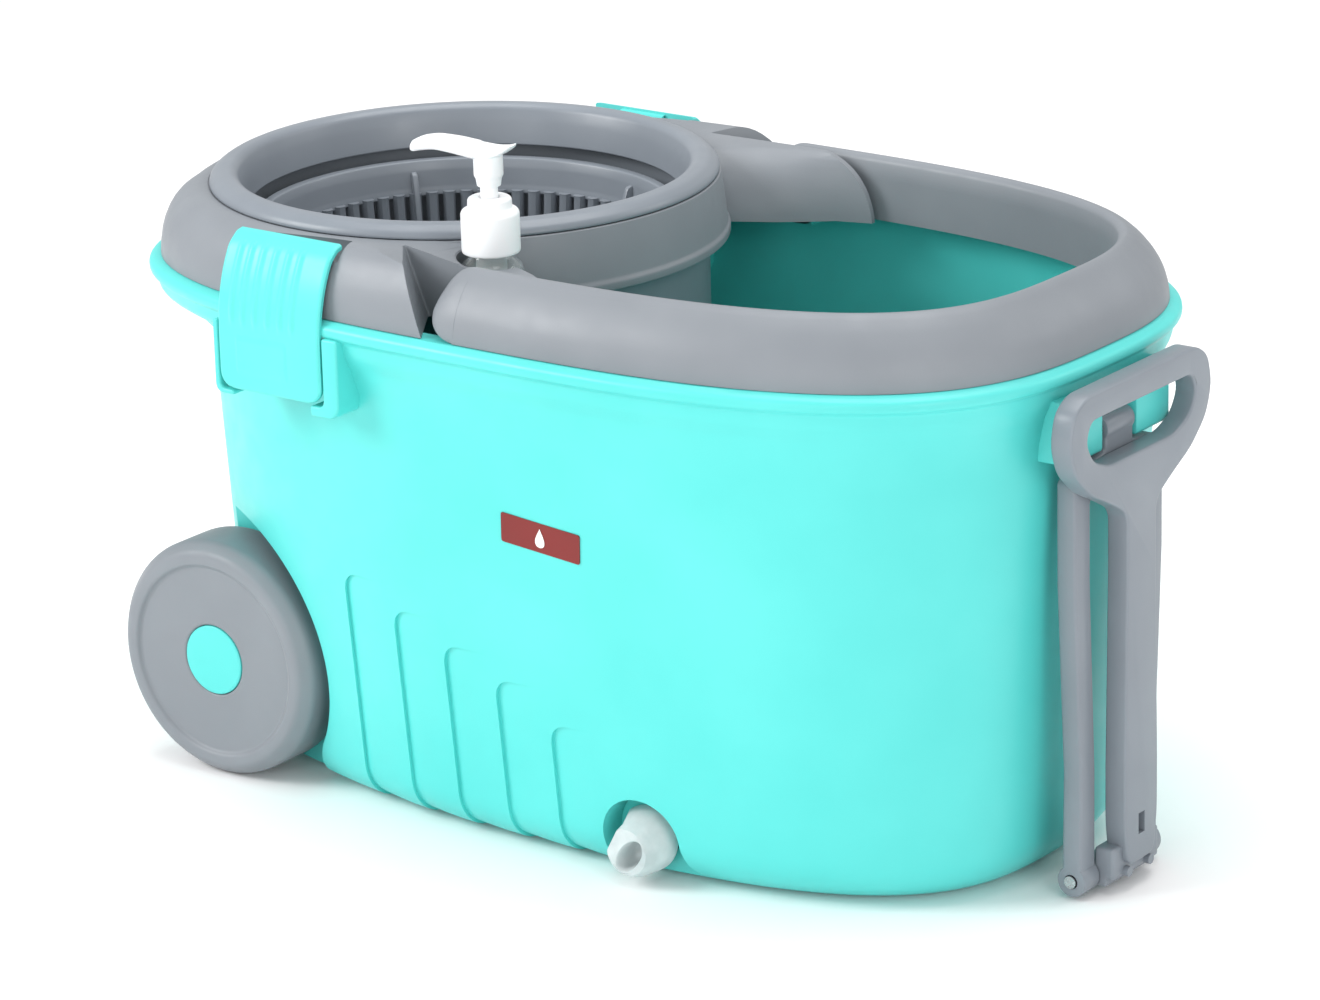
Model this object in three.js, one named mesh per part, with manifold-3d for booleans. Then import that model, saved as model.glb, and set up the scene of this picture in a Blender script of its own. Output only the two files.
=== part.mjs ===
// Wheeled spin-mop bucket: tub on two wheels, latched spinner cover with splash ring and wringing basket,
// pump soap bottle, carry handle, folding pull handle and drain plug.
// Millimetres. +X points to the pull-handle end, -Y is the near side with the drain and the badge, +Z is up.
// The pieces are drawn about the middle of the rim. The whole group is then moved so that its origin is on the
// floor, under the middle of the overall length.
import * as THREE from "three";
import { mergeVertices } from "three/addons/utils/BufferGeometryUtils.js";
import Module from "manifold-3d";

const wasm = await Module();
wasm.setup();

// ---------------------------------------------------------------- driving dimensions
const GAP = 0.3; // between pieces that touch
const OVAL_STEPS = 40;
const SPIN_STEPS = 32; // facets of the cover's skirt, the ring and the drum

const RIM = { left: -244.5, right: 244.5, half: 149, z: 250, squareLeft: 3.1, squareRight: 2.9 };
const LIP = 5; // how far the tub's lip stands outside the cover and the handle
const WALL = { left: -236, right: 240.5, half: 145, z: 231, squareLeft: 2.3, squareRight: 2.9 };
const FLOOR = { left: -230, right: 224, half: 121 }; // where the wall lines meet the floor
const WALL_T = 3;
const FLOOR_T = 4;
const FLOOR_FILLET = 22;

const SPIN_X = -112.5; // axis of basket, drum and splash ring
const SEAM_R = 122;
const SEAM_Z = 281;
const HANDLE_X = -4; // pivot of the carry handle
const HANDLE_W = 25.4;
const HANDLE_TOP = 281.3;

const WHEEL = { x: -179.7, r: 58.5, face: 123.2, back: 89, recess: 47.2, cap: 17.1 };
const WELL = { r: 66.5, wall: 85 };
const STUB_R = 5;

const PULL_X = 247.5; // pivots of the folding pull handle
const PULL_TOP_Z = 216;
const PULL_LOW_Z = 8.5;
const GRIP_OUT = 16.8; // outer face of the grip, beyond the pivots

const BOTTLE = { x: -16.7, y: -102, r: 15.3, bottom: 190.3, shoulder: 270 };
const COLLAR = { r: 13.4, z: 280.3, top: 300.3, step: 10, guide: 306 };
const HEAD_Z = 312.5;

const LATCH = { x: -106.4, width: 60, bottom: 211.3, pinY: 134.5, pinZ: 279.2 };
const DRAIN = { x: 73, z: 20, r: 20.5, back: 108 };

const FINS = 5;
const SLOTS_PER_BAY = 5;

// ---------------------------------------------------------------- materials
const plastic = (color, roughness = 0.45) => new THREE.MeshStandardMaterial({ color, roughness, metalness: 0 });
const AQUA = plastic(0x5fe9e2);
const GREY = plastic(0xa9aeb5);
const WHITE = plastic(0xf2f3f4, 0.35);
const CLEAR = new THREE.MeshStandardMaterial({ color: 0xe8f0f2, roughness: 0.08, transparent: true, opacity: 0.35 });
const SILICONE = plastic(0xd9dcda, 0.5);
const RUBBER = plastic(0x34383b, 0.8);
const RED = plastic(0xc02a2a, 0.4);
const STEEL = new THREE.MeshStandardMaterial({ color: 0xc4c6c8, roughness: 0.3, metalness: 1 });

// ---------------------------------------------------------------- solids
function solid(geometry) {
  const bare = geometry.clone();
  bare.deleteAttribute("normal");
  bare.deleteAttribute("uv");
  const merged = mergeVertices(bare, 1e-3);
  return new wasm.Manifold(
    new wasm.Mesh({
      numProp: 3,
      vertProperties: new Float32Array(merged.attributes.position.array),
      triVerts: new Uint32Array(merged.index.array),
    }),
  );
}

function geometryOf(body) {
  const mesh = body.getMesh();
  const geometry = new THREE.BufferGeometry();
  geometry.setAttribute("position", new THREE.BufferAttribute(new Float32Array(mesh.vertProperties), 3));
  geometry.setIndex(new THREE.BufferAttribute(new Uint32Array(mesh.triVerts), 1));
  geometry.computeVertexNormals();
  return geometry;
}

const join = (...bodies) => bodies.reduce((all, body) => all.add(body));
const cut = (body, ...tools) => tools.reduce((rest, tool) => rest.subtract(tool), body);

function box(x0, x1, y0, y1, z0, z1) {
  const geometry = new THREE.BoxGeometry(x1 - x0, y1 - y0, z1 - z0);
  return solid(geometry.translate((x0 + x1) / 2, (y0 + y1) / 2, (z0 + z1) / 2));
}

// Revolved body about the vertical through (x, y). The profile lists [radius, height] points.
function turned(profile, steps, x = 0, y = 0, closed = true) {
  const points = profile.map(([r, z]) => new THREE.Vector2(r, z));
  if (closed) points.push(points[0].clone());
  const geometry = new THREE.LatheGeometry(points, steps).rotateX(Math.PI / 2);
  const body = solid(facingOut(geometry));
  return body.translate([x, y, 0]);
}

// A lathe runs either way round its profile, so its faces are turned outwards here.
function facingOut(geometry) {
  const flat = geometry.index ? geometry.toNonIndexed() : geometry;
  const p = flat.attributes.position;
  let volume = 0;
  const a = new THREE.Vector3();
  const b = new THREE.Vector3();
  const c = new THREE.Vector3();
  for (let i = 0; i < p.count; i += 3) {
    a.fromBufferAttribute(p, i);
    b.fromBufferAttribute(p, i + 1);
    c.fromBufferAttribute(p, i + 2);
    volume += a.dot(b.cross(c));
  }
  if (volume < 0) {
    for (let i = 0; i < p.count; i += 3) {
      a.fromBufferAttribute(p, i + 1);
      b.fromBufferAttribute(p, i + 2);
      p.setXYZ(i + 1, b.x, b.y, b.z);
      p.setXYZ(i + 2, a.x, a.y, a.z);
    }
  }
  return flat;
}

// Cylinder along Y from y0 to y1, or along X or Z.
function rod(axis, radius, from, to, u, v, steps = 20) {
  const geometry = new THREE.CylinderGeometry(radius, radius, to - from, steps);
  const middle = (from + to) / 2;
  if (axis === "y") geometry.translate(u, middle, v);
  if (axis === "x") geometry.rotateZ(Math.PI / 2).translate(middle, u, v);
  if (axis === "z") geometry.rotateX(Math.PI / 2).translate(u, v, middle);
  return solid(geometry);
}

// Body revolved about a line along Y through (x, z). The profile lists [radius, y] points.
function turnedY(profile, steps, x, z) {
  const points = profile.map(([r, y]) => new THREE.Vector2(r, y));
  points.push(points[0].clone());
  const geometry = new THREE.LatheGeometry(points, steps).translate(x, 0, z);
  return solid(facingOut(geometry));
}

// Outline in the XZ plane, extruded along Y from y0 to y1.
function slabXZ(shape, y0, y1, curveSegments = 6) {
  const geometry = new THREE.ExtrudeGeometry(shape, { depth: y1 - y0, bevelEnabled: false, curveSegments });
  return solid(geometry.rotateX(Math.PI / 2).translate(0, y1, 0));
}

// Outline in the XY plane, extruded up from z0 to z1.
function slabXY(shape, z0, z1, curveSegments = 6) {
  const geometry = new THREE.ExtrudeGeometry(shape, { depth: z1 - z0, bevelEnabled: false, curveSegments });
  return solid(geometry.translate(0, 0, z0));
}

// Outline in the YZ plane, extruded along X from x0 to x1.
function slabYZ(shape, x0, x1, curveSegments = 6) {
  const geometry = new THREE.ExtrudeGeometry(shape, { depth: x1 - x0, bevelEnabled: false, curveSegments });
  geometry.applyMatrix4(new THREE.Matrix4().set(0, 0, 1, 0, 1, 0, 0, 0, 0, 1, 0, 0, 0, 0, 0, 1));
  return solid(geometry.translate(x0, 0, 0));
}

// Closed outline through [u, v] points, always counter-clockwise so that holes cut the right way.
function outline(points) {
  const corners = points.map(([u, v]) => new THREE.Vector2(u, v));
  if (THREE.ShapeUtils.isClockWise(corners)) corners.reverse();
  return new THREE.Shape(corners);
}

// Body through a stack of closed rings, each a list of as many Vector3 points, with flat ends.
function lofted(rings) {
  const count = rings[0].length;
  const position = [];
  const index = [];
  rings.forEach((ring) => ring.forEach((p) => position.push(p.x, p.y, p.z)));
  for (let k = 0; k + 1 < rings.length; k++) {
    for (let i = 0; i < count; i++) {
      const a = k * count + i;
      const b = k * count + ((i + 1) % count);
      index.push(a, b, b + count, a, b + count, a + count);
    }
  }
  for (const [ring, offset] of [[rings[0], 0], [rings.at(-1), (rings.length - 1) * count]]) {
    const centre = ring.reduce((sum, p) => sum.add(p), new THREE.Vector3()).divideScalar(count);
    const hub = position.length / 3;
    position.push(centre.x, centre.y, centre.z);
    for (let i = 0; i < count; i++) {
      const next = (i + 1) % count;
      if (offset) index.push(hub, offset + i, offset + next);
      else index.push(hub, next, i);
    }
  }
  const geometry = new THREE.BufferGeometry();
  geometry.setAttribute("position", new THREE.Float32BufferAttribute(position, 3));
  geometry.setIndex(index);
  return solid(facingOut(geometry));
}

// ---------------------------------------------------------------- oval outlines
// A point of a squared oval. Its left and right halves may be squared by different powers.
function ovalPoint(angle, oval) {
  const c = Math.cos(angle);
  const s = Math.sin(angle);
  const power = c < 0 ? oval.squareLeft : oval.squareRight;
  const rho = (Math.abs(c) ** power + Math.abs(s) ** power) ** (1 / power);
  const middle = (oval.left + oval.right) / 2;
  const reach = (oval.right - oval.left) / 2;
  return new THREE.Vector3(middle + (reach * c) / rho, (oval.half * s) / rho, oval.z);
}

const inset = (oval, by, z = oval.z) => ({
  ...oval,
  left: oval.left + by,
  right: oval.right - by,
  half: oval.half - by,
  z,
});

const ring = (oval, steps = OVAL_STEPS) =>
  Array.from({ length: steps }, (_, i) => ovalPoint((2 * Math.PI * i) / steps, oval));

// The tub's outer wall at height z, before its bottom edge is rounded.
function wallAt(z) {
  const t = z / WALL.z;
  return {
    ...WALL,
    left: THREE.MathUtils.lerp(FLOOR.left, WALL.left, t),
    right: THREE.MathUtils.lerp(FLOOR.right, WALL.right, t),
    half: THREE.MathUtils.lerp(FLOOR.half, WALL.half, t),
    z,
  };
}

const blend = (a, b, t, z) => ({
  left: THREE.MathUtils.lerp(a.left, b.left, t),
  right: THREE.MathUtils.lerp(a.right, b.right, t),
  half: THREE.MathUtils.lerp(a.half, b.half, t),
  squareLeft: THREE.MathUtils.lerp(a.squareLeft, b.squareLeft, t),
  squareRight: THREE.MathUtils.lerp(a.squareRight, b.squareRight, t),
  z,
});

// Rings of the wall and of its rounded bottom edge, grown outwards by grow.
function wallRings(grow, floor, fillet, top) {
  const rings = [];
  for (const degrees of [0, 30, 60, 90]) {
    const t = THREE.MathUtils.degToRad(degrees);
    const z = floor + fillet * (1 - Math.cos(t));
    rings.push(ring(inset(wallAt(z), fillet * (1 - Math.sin(t)) - grow)));
  }
  rings.push(ring(inset(wallAt(top), -grow)));
  return rings;
}

// The y of the wall's near side at x and z, as a positive distance.
function wallY(x, z) {
  const oval = wallAt(z);
  const middle = (oval.left + oval.right) / 2;
  const reach = (oval.right - oval.left) / 2;
  const power = x < middle ? oval.squareLeft : oval.squareRight;
  return oval.half * (1 - Math.abs((x - middle) / reach) ** power) ** (1 / power);
}

// ---------------------------------------------------------------- bucket tub
const RIBS = [-92, -61, -31, -1, 28].map((x, i) => ({ x, top: 120 - 11.5 * i - (i === 4 ? 4 : 0) }));

// Outer body with the rounded bottom edge, the fascia under the lip and the lip itself.
function tubOuter() {
  return lofted([
    ...wallRings(0, 0, FLOOR_FILLET, 222),
    ring(blend(wallAt(228), RIM, 0.45, 228)),
    ring(inset(RIM, -1, 234)),
    ring(inset(RIM, -2.5, 242)),
    ring(inset(RIM, -LIP, 243.5)),
    ring(inset(RIM, -LIP, 247.5)),
    ring(inset(RIM, -LIP + 3, RIM.z)),
  ]);
}

// The rinse space. Near the top it widens under the rim.
function tubInner() {
  const rings = wallRings(-WALL_T, FLOOR_T, FLOOR_FILLET - WALL_T, 232);
  rings.push(ring(blend(inset(wallAt(238), WALL_T), inset(RIM, 9), 0.6, 240)));
  rings.push(ring(inset(RIM, 9, 246)));
  rings.push(ring(inset(RIM, 9, RIM.z + 1)));
  return lofted(rings);
}

// Shingle edges low on the near and far sides: thin strips with a rounded top.
function ribStrips(side) {
  const skin = lofted(wallRings(1.2, 0.2, FLOOR_FILLET, 140));
  return RIBS.map(({ x, top }) => {
    const shape = new THREE.Shape();
    shape.moveTo(x, 2);
    shape.lineTo(x, top - 8);
    shape.quadraticCurveTo(x, top, x + 8, top);
    shape.lineTo(x + 12, top);
    shape.lineTo(x + 12, 2);
    const prism = side < 0 ? slabXZ(shape, -150, -60, 3) : slabXZ(shape, 60, 150, 3);
    return skin.intersect(prism);
  });
}

// J-shaped guards that flank a latch and curl under its lower corners.
function latchCheeks(side) {
  const half = LATCH.width / 2 + 0.8;
  const bottom = LATCH.bottom - 1;
  const depth = side < 0 ? [-155, -132] : [132, 155];
  return [-1, 1].map((hand) => {
    const shape = new THREE.Shape();
    const at = (dx) => LATCH.x + hand * dx;
    shape.moveTo(at(half), 243);
    shape.lineTo(at(half), bottom + 8);
    shape.quadraticCurveTo(at(half), bottom, at(half - 8), bottom);
    shape.lineTo(at(half - 8), bottom - 4.5);
    shape.lineTo(at(half - 4), bottom - 4.5);
    shape.quadraticCurveTo(at(half + 9), bottom - 4.5, at(half + 9), bottom + 10);
    shape.lineTo(at(half + 9), 243);
    return slabXZ(shape, ...depth, 4);
  });
}

// Ear that carries one end of the carry handle, on an arm that reaches in from the wall.
function handleEar(side) {
  const y = (a, b) => (side < 0 ? [-b, -a] : [a, b]);
  const x0 = HANDLE_X - 6.5;
  const x1 = HANDLE_X + 9;
  return join(
    box(x0, x1, ...y(119.2, 143), 243.5, 248.5),
    box(x0, x1, ...y(119.2, 122.2), 243.5, 274),
  );
}

// Ears under the lip that carry the folding pull handle.
function pullEar(side) {
  const y = side < 0 ? [-42, -14] : [14, 42];
  return box(230, PULL_X + 5, ...y, 207, 236);
}

function bucketTub() {
  let hollow = tubInner();
  const outsideTools = [];
  for (const side of [-1, 1]) {
    const y = (a, b) => (side < 0 ? [-b, -a] : [a, b]);
    hollow = cut(
      hollow,
      rod("y", WELL.r + WALL_T, ...y(WELL.wall - WALL_T, 160), WHEEL.x, WHEEL.r, 36),
      rod("y", STUB_R + 4, ...y(68, 90), WHEEL.x, WHEEL.r, 16),
    );
    outsideTools.push(
      rod("y", WELL.r, ...y(WELL.wall, 160), WHEEL.x, WHEEL.r, 36),
      box(-152, -131, ...y(WELL.wall, 160), -2, 16),
      rod("y", STUB_R + GAP, ...y(72, 90), WHEEL.x, WHEEL.r, 16),
    );
  }
  hollow = cut(hollow, rod("y", DRAIN.r + WALL_T, -160, -DRAIN.back + WALL_T, DRAIN.x, DRAIN.z, 24));
  outsideTools.push(
    rod("y", DRAIN.r, -160, -DRAIN.back, DRAIN.x, DRAIN.z, 24),
    rod("y", 8, -DRAIN.back - 1, -DRAIN.back + WALL_T + 6, DRAIN.x, DRAIN.z, 16),
  );
  let tub = cut(tubOuter(), hollow);
  for (const side of [-1, 1]) tub = join(tub, ...ribStrips(side), ...latchCheeks(side), pullEar(side));
  tub = cut(tub, hollow, ...outsideTools, rod("y", 3 + GAP, -40, 40, PULL_X, PULL_TOP_Z, 14));
  return join(tub, handleEarBored(-1), handleEarBored(1));
}

function handleEarBored(side) {
  const [y0, y1] = side < 0 ? [-123, -118] : [118, 123];
  return cut(handleEar(side), rod("y", 4 + GAP, y0, y1, HANDLE_X, handlePivotZ, 16));
}

const handlePivotZ = (RIM.z + GAP + HANDLE_TOP) / 2;

// ---------------------------------------------------------------- wheels
// All wheel pieces are drawn for the near side, with their y measured outwards as a negative distance.
function wheelPieces() {
  const { x, r, face, back, recess, cap } = WHEEL;
  const tyreProfile = [
    [STUB_R + GAP, -back + 2], [11, -back + 2], [12, -face + 12], [recess - 1, -face + 8],
    [r - 5, -back], [r, -back - 2], [r, -face + 5], [r - 4.5, -face], [recess, -face],
    [recess - 1.2, -face + 2], [cap + GAP, -face + 1.4], [cap + GAP, -face + 9.5], [STUB_R + GAP, -face + 9.5],
  ];
  const capProfile = [
    [0, -face + 6], [cap, -face + 6], [cap, -face + 1.8], [cap - 0.8, -face + 1.2], [0, -face + 1],
  ];
  return {
    wheel: turnedY(tyreProfile, 24, x, r),
    hub_cap: solid(facingOut(latheAlongY(capProfile, 24).translate(x, 0, r))),
    wheel_stub: rod("y", STUB_R, -face + 7, -72 - GAP, x, r, 16),
    wheel_retainer: turnedY(
      [[STUB_R + GAP, -face + 7.2], [8.5, -face + 7.2], [8.5, -face + 9.2], [STUB_R + GAP, -face + 9.2]],
      16, x, r,
    ),
  };
}

// Profile of [radius, y] that starts and ends on the axis.
function latheAlongY(profile, steps) {
  return new THREE.LatheGeometry(profile.map(([r, y]) => new THREE.Vector2(r, y)), steps);
}

// ---------------------------------------------------------------- drain
function drainPieces() {
  const wall = -DRAIN.back;
  const at = (profile, steps) => turnedY(profile, steps, DRAIN.x, DRAIN.z);
  const plug = solid(
    facingOut(
      latheAlongY(
        [
          [0, wall + 8], [7, wall + 8], [7.4, wall + 1], [7.4, wall - 3.6], [14.5, wall - 3.6], [15.5, wall - 6],
          [14, wall - 17], [11.5, wall - 17], [10, wall - 10], [0, wall - 9],
        ],
        22,
      ).translate(DRAIN.x, 0, DRAIN.z),
    ),
  );
  const gasket = at([[8, wall - GAP], [13, wall - GAP], [13, wall - 3], [8, wall - 3]], 20);
  return { plug, gasket };
}

// ---------------------------------------------------------------- badge
// Thin plate that lies on the sloping near wall.
function frontLabel() {
  const width = 45;
  const height = 22;
  const thick = 0.7;
  const x = 34;
  const z = 163;
  const slope = Math.atan2(wallY(x, z + 10) - wallY(x, z - 10), 20);
  const geometry = new THREE.BoxGeometry(width, thick, height);
  geometry.rotateX(slope).translate(x, -wallY(x, z) - thick / 2 - 0.5, z);
  return solid(geometry);
}

// ---------------------------------------------------------------- carry handle
// Section of the handle as [inset from the rim outline, height]: a crowned bar, open underneath.
const HANDLE_SECTION = [
  [0.3, RIM.z + GAP], [0.8, 256], [2.8, 263], [6.5, 269.5], [11.5, 275.5], [16.5, 279.7], [20.5, HANDLE_TOP],
  [23.6, 279.5], [25, 273], [HANDLE_W, RIM.z + GAP],
];
const HANDLE_HOLLOW = [
  [3, RIM.z - 1], [4.5, 258], [8, 266], [13, 272.6], [18.5, 277], [21.5, 276], [22.5, 270], [22.6, RIM.z - 1],
];

// Outward normal of the rim outline, from two neighbouring points of it.
function rimFrame(angle) {
  const p = ovalPoint(angle, RIM);
  const step = 1e-3;
  const tangent = ovalPoint(angle + step, RIM).sub(ovalPoint(angle - step, RIM)).normalize();
  return { p, normal: new THREE.Vector3(tangent.y, -tangent.x, 0) };
}

// Angle at which the near side of the rim reaches x.
function rimAngle(x) {
  let low = -Math.PI;
  let high = 0;
  for (let i = 0; i < 40; i++) {
    const middle = (low + high) / 2;
    if (ovalPoint(middle, RIM).x < x) low = middle;
    else high = middle;
  }
  return (low + high) / 2;
}

function handleBar(section, startX, steps) {
  const from = rimAngle(startX);
  const rings = [];
  for (let i = 0; i <= steps; i++) {
    const { p, normal } = rimFrame(from + (-2 * from * i) / steps);
    rings.push(section.map(([u, z]) => new THREE.Vector3(p.x - normal.x * u, p.y - normal.y * u, z)));
  }
  return lofted(rings);
}

// Round end of the handle, in slices across it. Each row gives a slice's inset from the rim outline, its top above
// the pivot, its reach beyond the pivot and its bottom below the pivot. Nothing lies beyond END_R, so it turns freely.
const END_R = 15.5;
const HANDLE_END = [
  [0.5, -12, 3, 15.2], [1.2, -8, 8, 15.5], [2.2, -4.5, 11.2, 15.5], [3.6, -1.2, 13.4, 15.5], [6.5, 3.7, 15.2, 15.5],
  [9, 6.8, 15.5, 15.5], [11.5, 9.7, 15.5, 15.5], [16.5, 13.9, 15.5, 15.5], [20.5, 15.5, 15.5, 15.5],
  [23.6, 13.7, 15.5, 15.5], [25, 7.2, 14, 15.5], [25.4, -6, 9, 15.4],
];

function handleEnd(side) {
  const rimY = Math.abs(ovalPoint(rimAngle(HANDLE_X), RIM).y);
  const rings = HANDLE_END.map(([u, top, reach, bottom]) => {
    const slice = [];
    for (let k = 0; k <= 14; k++) {
      const angle = (Math.PI * k) / 14;
      const back = reach * Math.sin(angle);
      const rise = (top - bottom) / 2 + ((top + bottom) / 2) * Math.cos(angle);
      const keep = Math.min(1, END_R / Math.hypot(back, rise));
      slice.push(new THREE.Vector3(HANDLE_X - back * keep, side * (rimY - u), handlePivotZ + rise * keep));
    }
    slice.push(new THREE.Vector3(HANDLE_X + 0.5, side * (rimY - u), handlePivotZ - bottom));
    slice.push(new THREE.Vector3(HANDLE_X + 0.5, side * (rimY - u), handlePivotZ + top));
    return slice;
  });
  return lofted(rings);
}

function carryHandle() {
  const bar = cut(handleBar(HANDLE_SECTION, HANDLE_X, 24), handleBar(HANDLE_HOLLOW, HANDLE_X + 17, 22));
  const handle = join(bar, handleEnd(-1), handleEnd(1));
  return cut(
    handle,
    rod("y", 4.4, -135, -118, HANDLE_X, handlePivotZ, 16),
    rod("y", 4.4, 118, 135, HANDLE_X, handlePivotZ, 16),
  );
}

const handlePin = (side) =>
  side < 0
    ? rod("y", 4, -134, -119.5, HANDLE_X, handlePivotZ, 16)
    : rod("y", 4, 119.5, 134, HANDLE_X, handlePivotZ, 16);

// ---------------------------------------------------------------- pull handle
// Lower link: two arms joined near the top, with a tongue that hangs between the tub's ears.
function pullLink() {
  const x0 = PULL_X - 5;
  const x1 = PULL_X + 5;
  const shape = outline([
    [-11.5, PULL_TOP_Z], [-11.5, 206], [-30, 204], [-37, 197], [-37, 150], [-32, 60], [-33, PULL_LOW_Z],
    [-20, PULL_LOW_Z], [-20, 60], [-24, 150], [-24, 186], [-18, 192], [18, 192], [24, 186], [24, 150],
    [20, 60], [20, PULL_LOW_Z], [33, PULL_LOW_Z], [32, 60], [37, 150], [37, 197], [30, 204], [11.5, 206],
    [11.5, PULL_TOP_Z],
  ]);
  const body = join(
    slabYZ(shape, x0, x1),
    rod("y", 6, -11.5, 11.5, PULL_X, PULL_TOP_Z, 18),
    rod("y", 7.4, -33, -20, PULL_X, PULL_LOW_Z, 18),
    rod("y", 7.4, 20, 33, PULL_X, PULL_LOW_Z, 18),
  );
  return cut(
    body,
    rod("y", 3.4, -14, 14, PULL_X, PULL_TOP_Z, 14),
    rod("y", 3.4, -40, 40, PULL_X, PULL_LOW_Z, 14),
  );
}

// Grip: shaft from the elbow up to a D-shaped loop, lying outside the link when folded.
function pullGrip() {
  const x0 = PULL_X + 5.8;
  const x1 = PULL_X + GRIP_OUT;
  const loop = outline([
    [-12, 183], [-26, 190], [-42, 197], [-55, 209], [-59.5, 222], [-56, 235], [-46, 242], [46, 242],
    [56, 235], [59.5, 222], [55, 209], [42, 197], [26, 190], [12, 183], [12, 150], [14, 60], [14, 32],
    [11, 12], [-11, 12], [-14, 32], [-14, 60], [-12, 150],
  ]);
  loop.holes.push(
    outline([[-27, 206], [-40, 211], [-46, 221], [-42, 230], [42, 230], [46, 221], [40, 211], [27, 206]]),
  );
  const body = join(
    slabYZ(loop, x0, x1),
    box(PULL_X - 1, x0 + 4, -19.5, 19.5, 3.5, 14),
    rod("y", 7, -19.5, 19.5, PULL_X, PULL_LOW_Z, 18),
    box(x0 - 2, x0 + 8, -19.5, 19.5, 7, 22),
  );
  return cut(
    body,
    rod("y", 3.4, -22, 22, PULL_X, PULL_LOW_Z, 14),
    box(x0 + 7, x1 + 1, -3, 3, 26, 34),
  );
}

const pullPin = (z, reach) => rod("y", 3, -reach, reach, PULL_X, z, 14);

// ---------------------------------------------------------------- spinner cover
const DOME_TOP = 283;
const DOME_ROUND = 20;

// Rings of the dome, drawn in by thick: up from the rim, rounded over, then flat in to the seam.
function domeRings(thick, floor) {
  const centre = new THREE.Vector3(SPIN_X, 0, 0);
  const base = inset(RIM, thick + 0.2, 0);
  const heights = [0, 20, 40, 62, 90].map((degrees) => THREE.MathUtils.degToRad(degrees));
  const rings = [ring({ ...base, z: floor })];
  const columns = ring(base).map((p) => {
    const inward = centre.clone().sub(p);
    const room = inward.length() - SEAM_R;
    const reach = Math.min(DOME_ROUND, room);
    const top = SEAM_Z + (DOME_TOP - SEAM_Z) * Math.min(1, (room - reach) / 10);
    return { p, inward: inward.normalize(), room, reach, top };
  });
  heights.forEach((angle, k) => {
    if (k === 0 && floor === RIM.z + GAP) return;
    rings.push(
      columns.map(({ p, inward, reach, top }) => {
        const at = p.clone().addScaledVector(inward, reach * (1 - Math.cos(angle)));
        return at.setZ(RIM.z + GAP + (top - thick - RIM.z - GAP) * Math.sin(angle));
      }),
    );
  });
  rings.push(
    columns.map(({ p, inward, room }) => {
      const at = p.clone().addScaledVector(inward, room + 0.5);
      return at.setZ(SEAM_Z - thick);
    }),
  );
  return rings;
}

// Plan of the cover: everything left of the handle's ends, and a wing inside each end.
function coverPlan(by) {
  const side = [[-22 - by, 170], [-22 - by, 150.5 + by], [-52 - by * 1.5, 118.5 - by], [46, 118.5 - by]];
  const mirrored = side.map(([x, y]) => [x, -y]).reverse();
  return outline([[-262, 170], ...side, ...mirrored, [-262, -170]].reverse());
}

// Side view of a wing's top. The far one is level and then falls away. The near one also dips by the bottle.
function coverFall(crest, by) {
  const shape = new THREE.Shape();
  shape.moveTo(-262, 230);
  shape.lineTo(-262, 300);
  crest.forEach(([x, z]) => shape.lineTo(x - by, z - by));
  const [x, z] = crest[crest.length - 1];
  shape.bezierCurveTo(x + 12 - by, z - by, 39 - by, z - 7 - by, 42 - by, 252);
  shape.lineTo(42 - by, 230);
  return shape;
}
const FAR_CREST = [[-80, 300], [-80, DOME_TOP + 4], [8, DOME_TOP]];
const NEAR_CREST = [[-66, 300], [-66, DOME_TOP + 1], [-40, 280], [-20, 277], [6, 275.5]];
const bothFalls = (by) =>
  join(slabXZ(coverFall(NEAR_CREST, by), -170, 0), slabXZ(coverFall(FAR_CREST, by), -1, 170));

// The room between the wings: each wing falls in a convex slope from its crest to the cover's lower edge.
function basinSlope(by) {
  const stations = [
    [-75, 50, 92], [-45, 68, 104], [-17.5, 84.5, 114], [0.6, 94, 117.6], [24.6, 111, 118.2], [48, 117.8, 118.6],
  ];
  const shape = [[0, 0], [0.06, 0.24], [0.2, 0.5], [0.42, 0.74], [0.7, 0.92], [1, 1]];
  return lofted(
    stations.map(([x, low, crest]) => {
      const half = [
        [low + by, 240],
        ...shape.map(([u, v]) => [low + (crest - low) * u + by, RIM.z + 33 * v - by * v]),
        [crest + by, 305],
      ];
      return [...half.map(([y, z]) => [-y, z]), ...half.reverse()].map(([y, z]) => new THREE.Vector3(x, y, z));
    }),
  );
}

const bottleCup = () =>
  turned([[0, 187.7], [17.6, 187.7], [17.6, 279], [15.9, 279], [15.9, 190], [0, 190]], 24, BOTTLE.x, BOTTLE.y, false);

const skirt = () =>
  turned(
    [
      [SEAM_R, SEAM_Z - 0.3], [124.8, 256], [125.8, 254.5], [126, 250.5], [122, 250.5], [121.9, 262],
      [119.5, 275], [119.3, SEAM_Z - 0.3],
    ],
    SPIN_STEPS, SPIN_X,
  );

const SCREW_RING = 118.9;
const SCREW_ANGLES = [45, 135, 225, 315].map(THREE.MathUtils.degToRad);
const onScrewRing = (angle) => [SPIN_X + SCREW_RING * Math.cos(angle), SCREW_RING * Math.sin(angle)];

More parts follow.
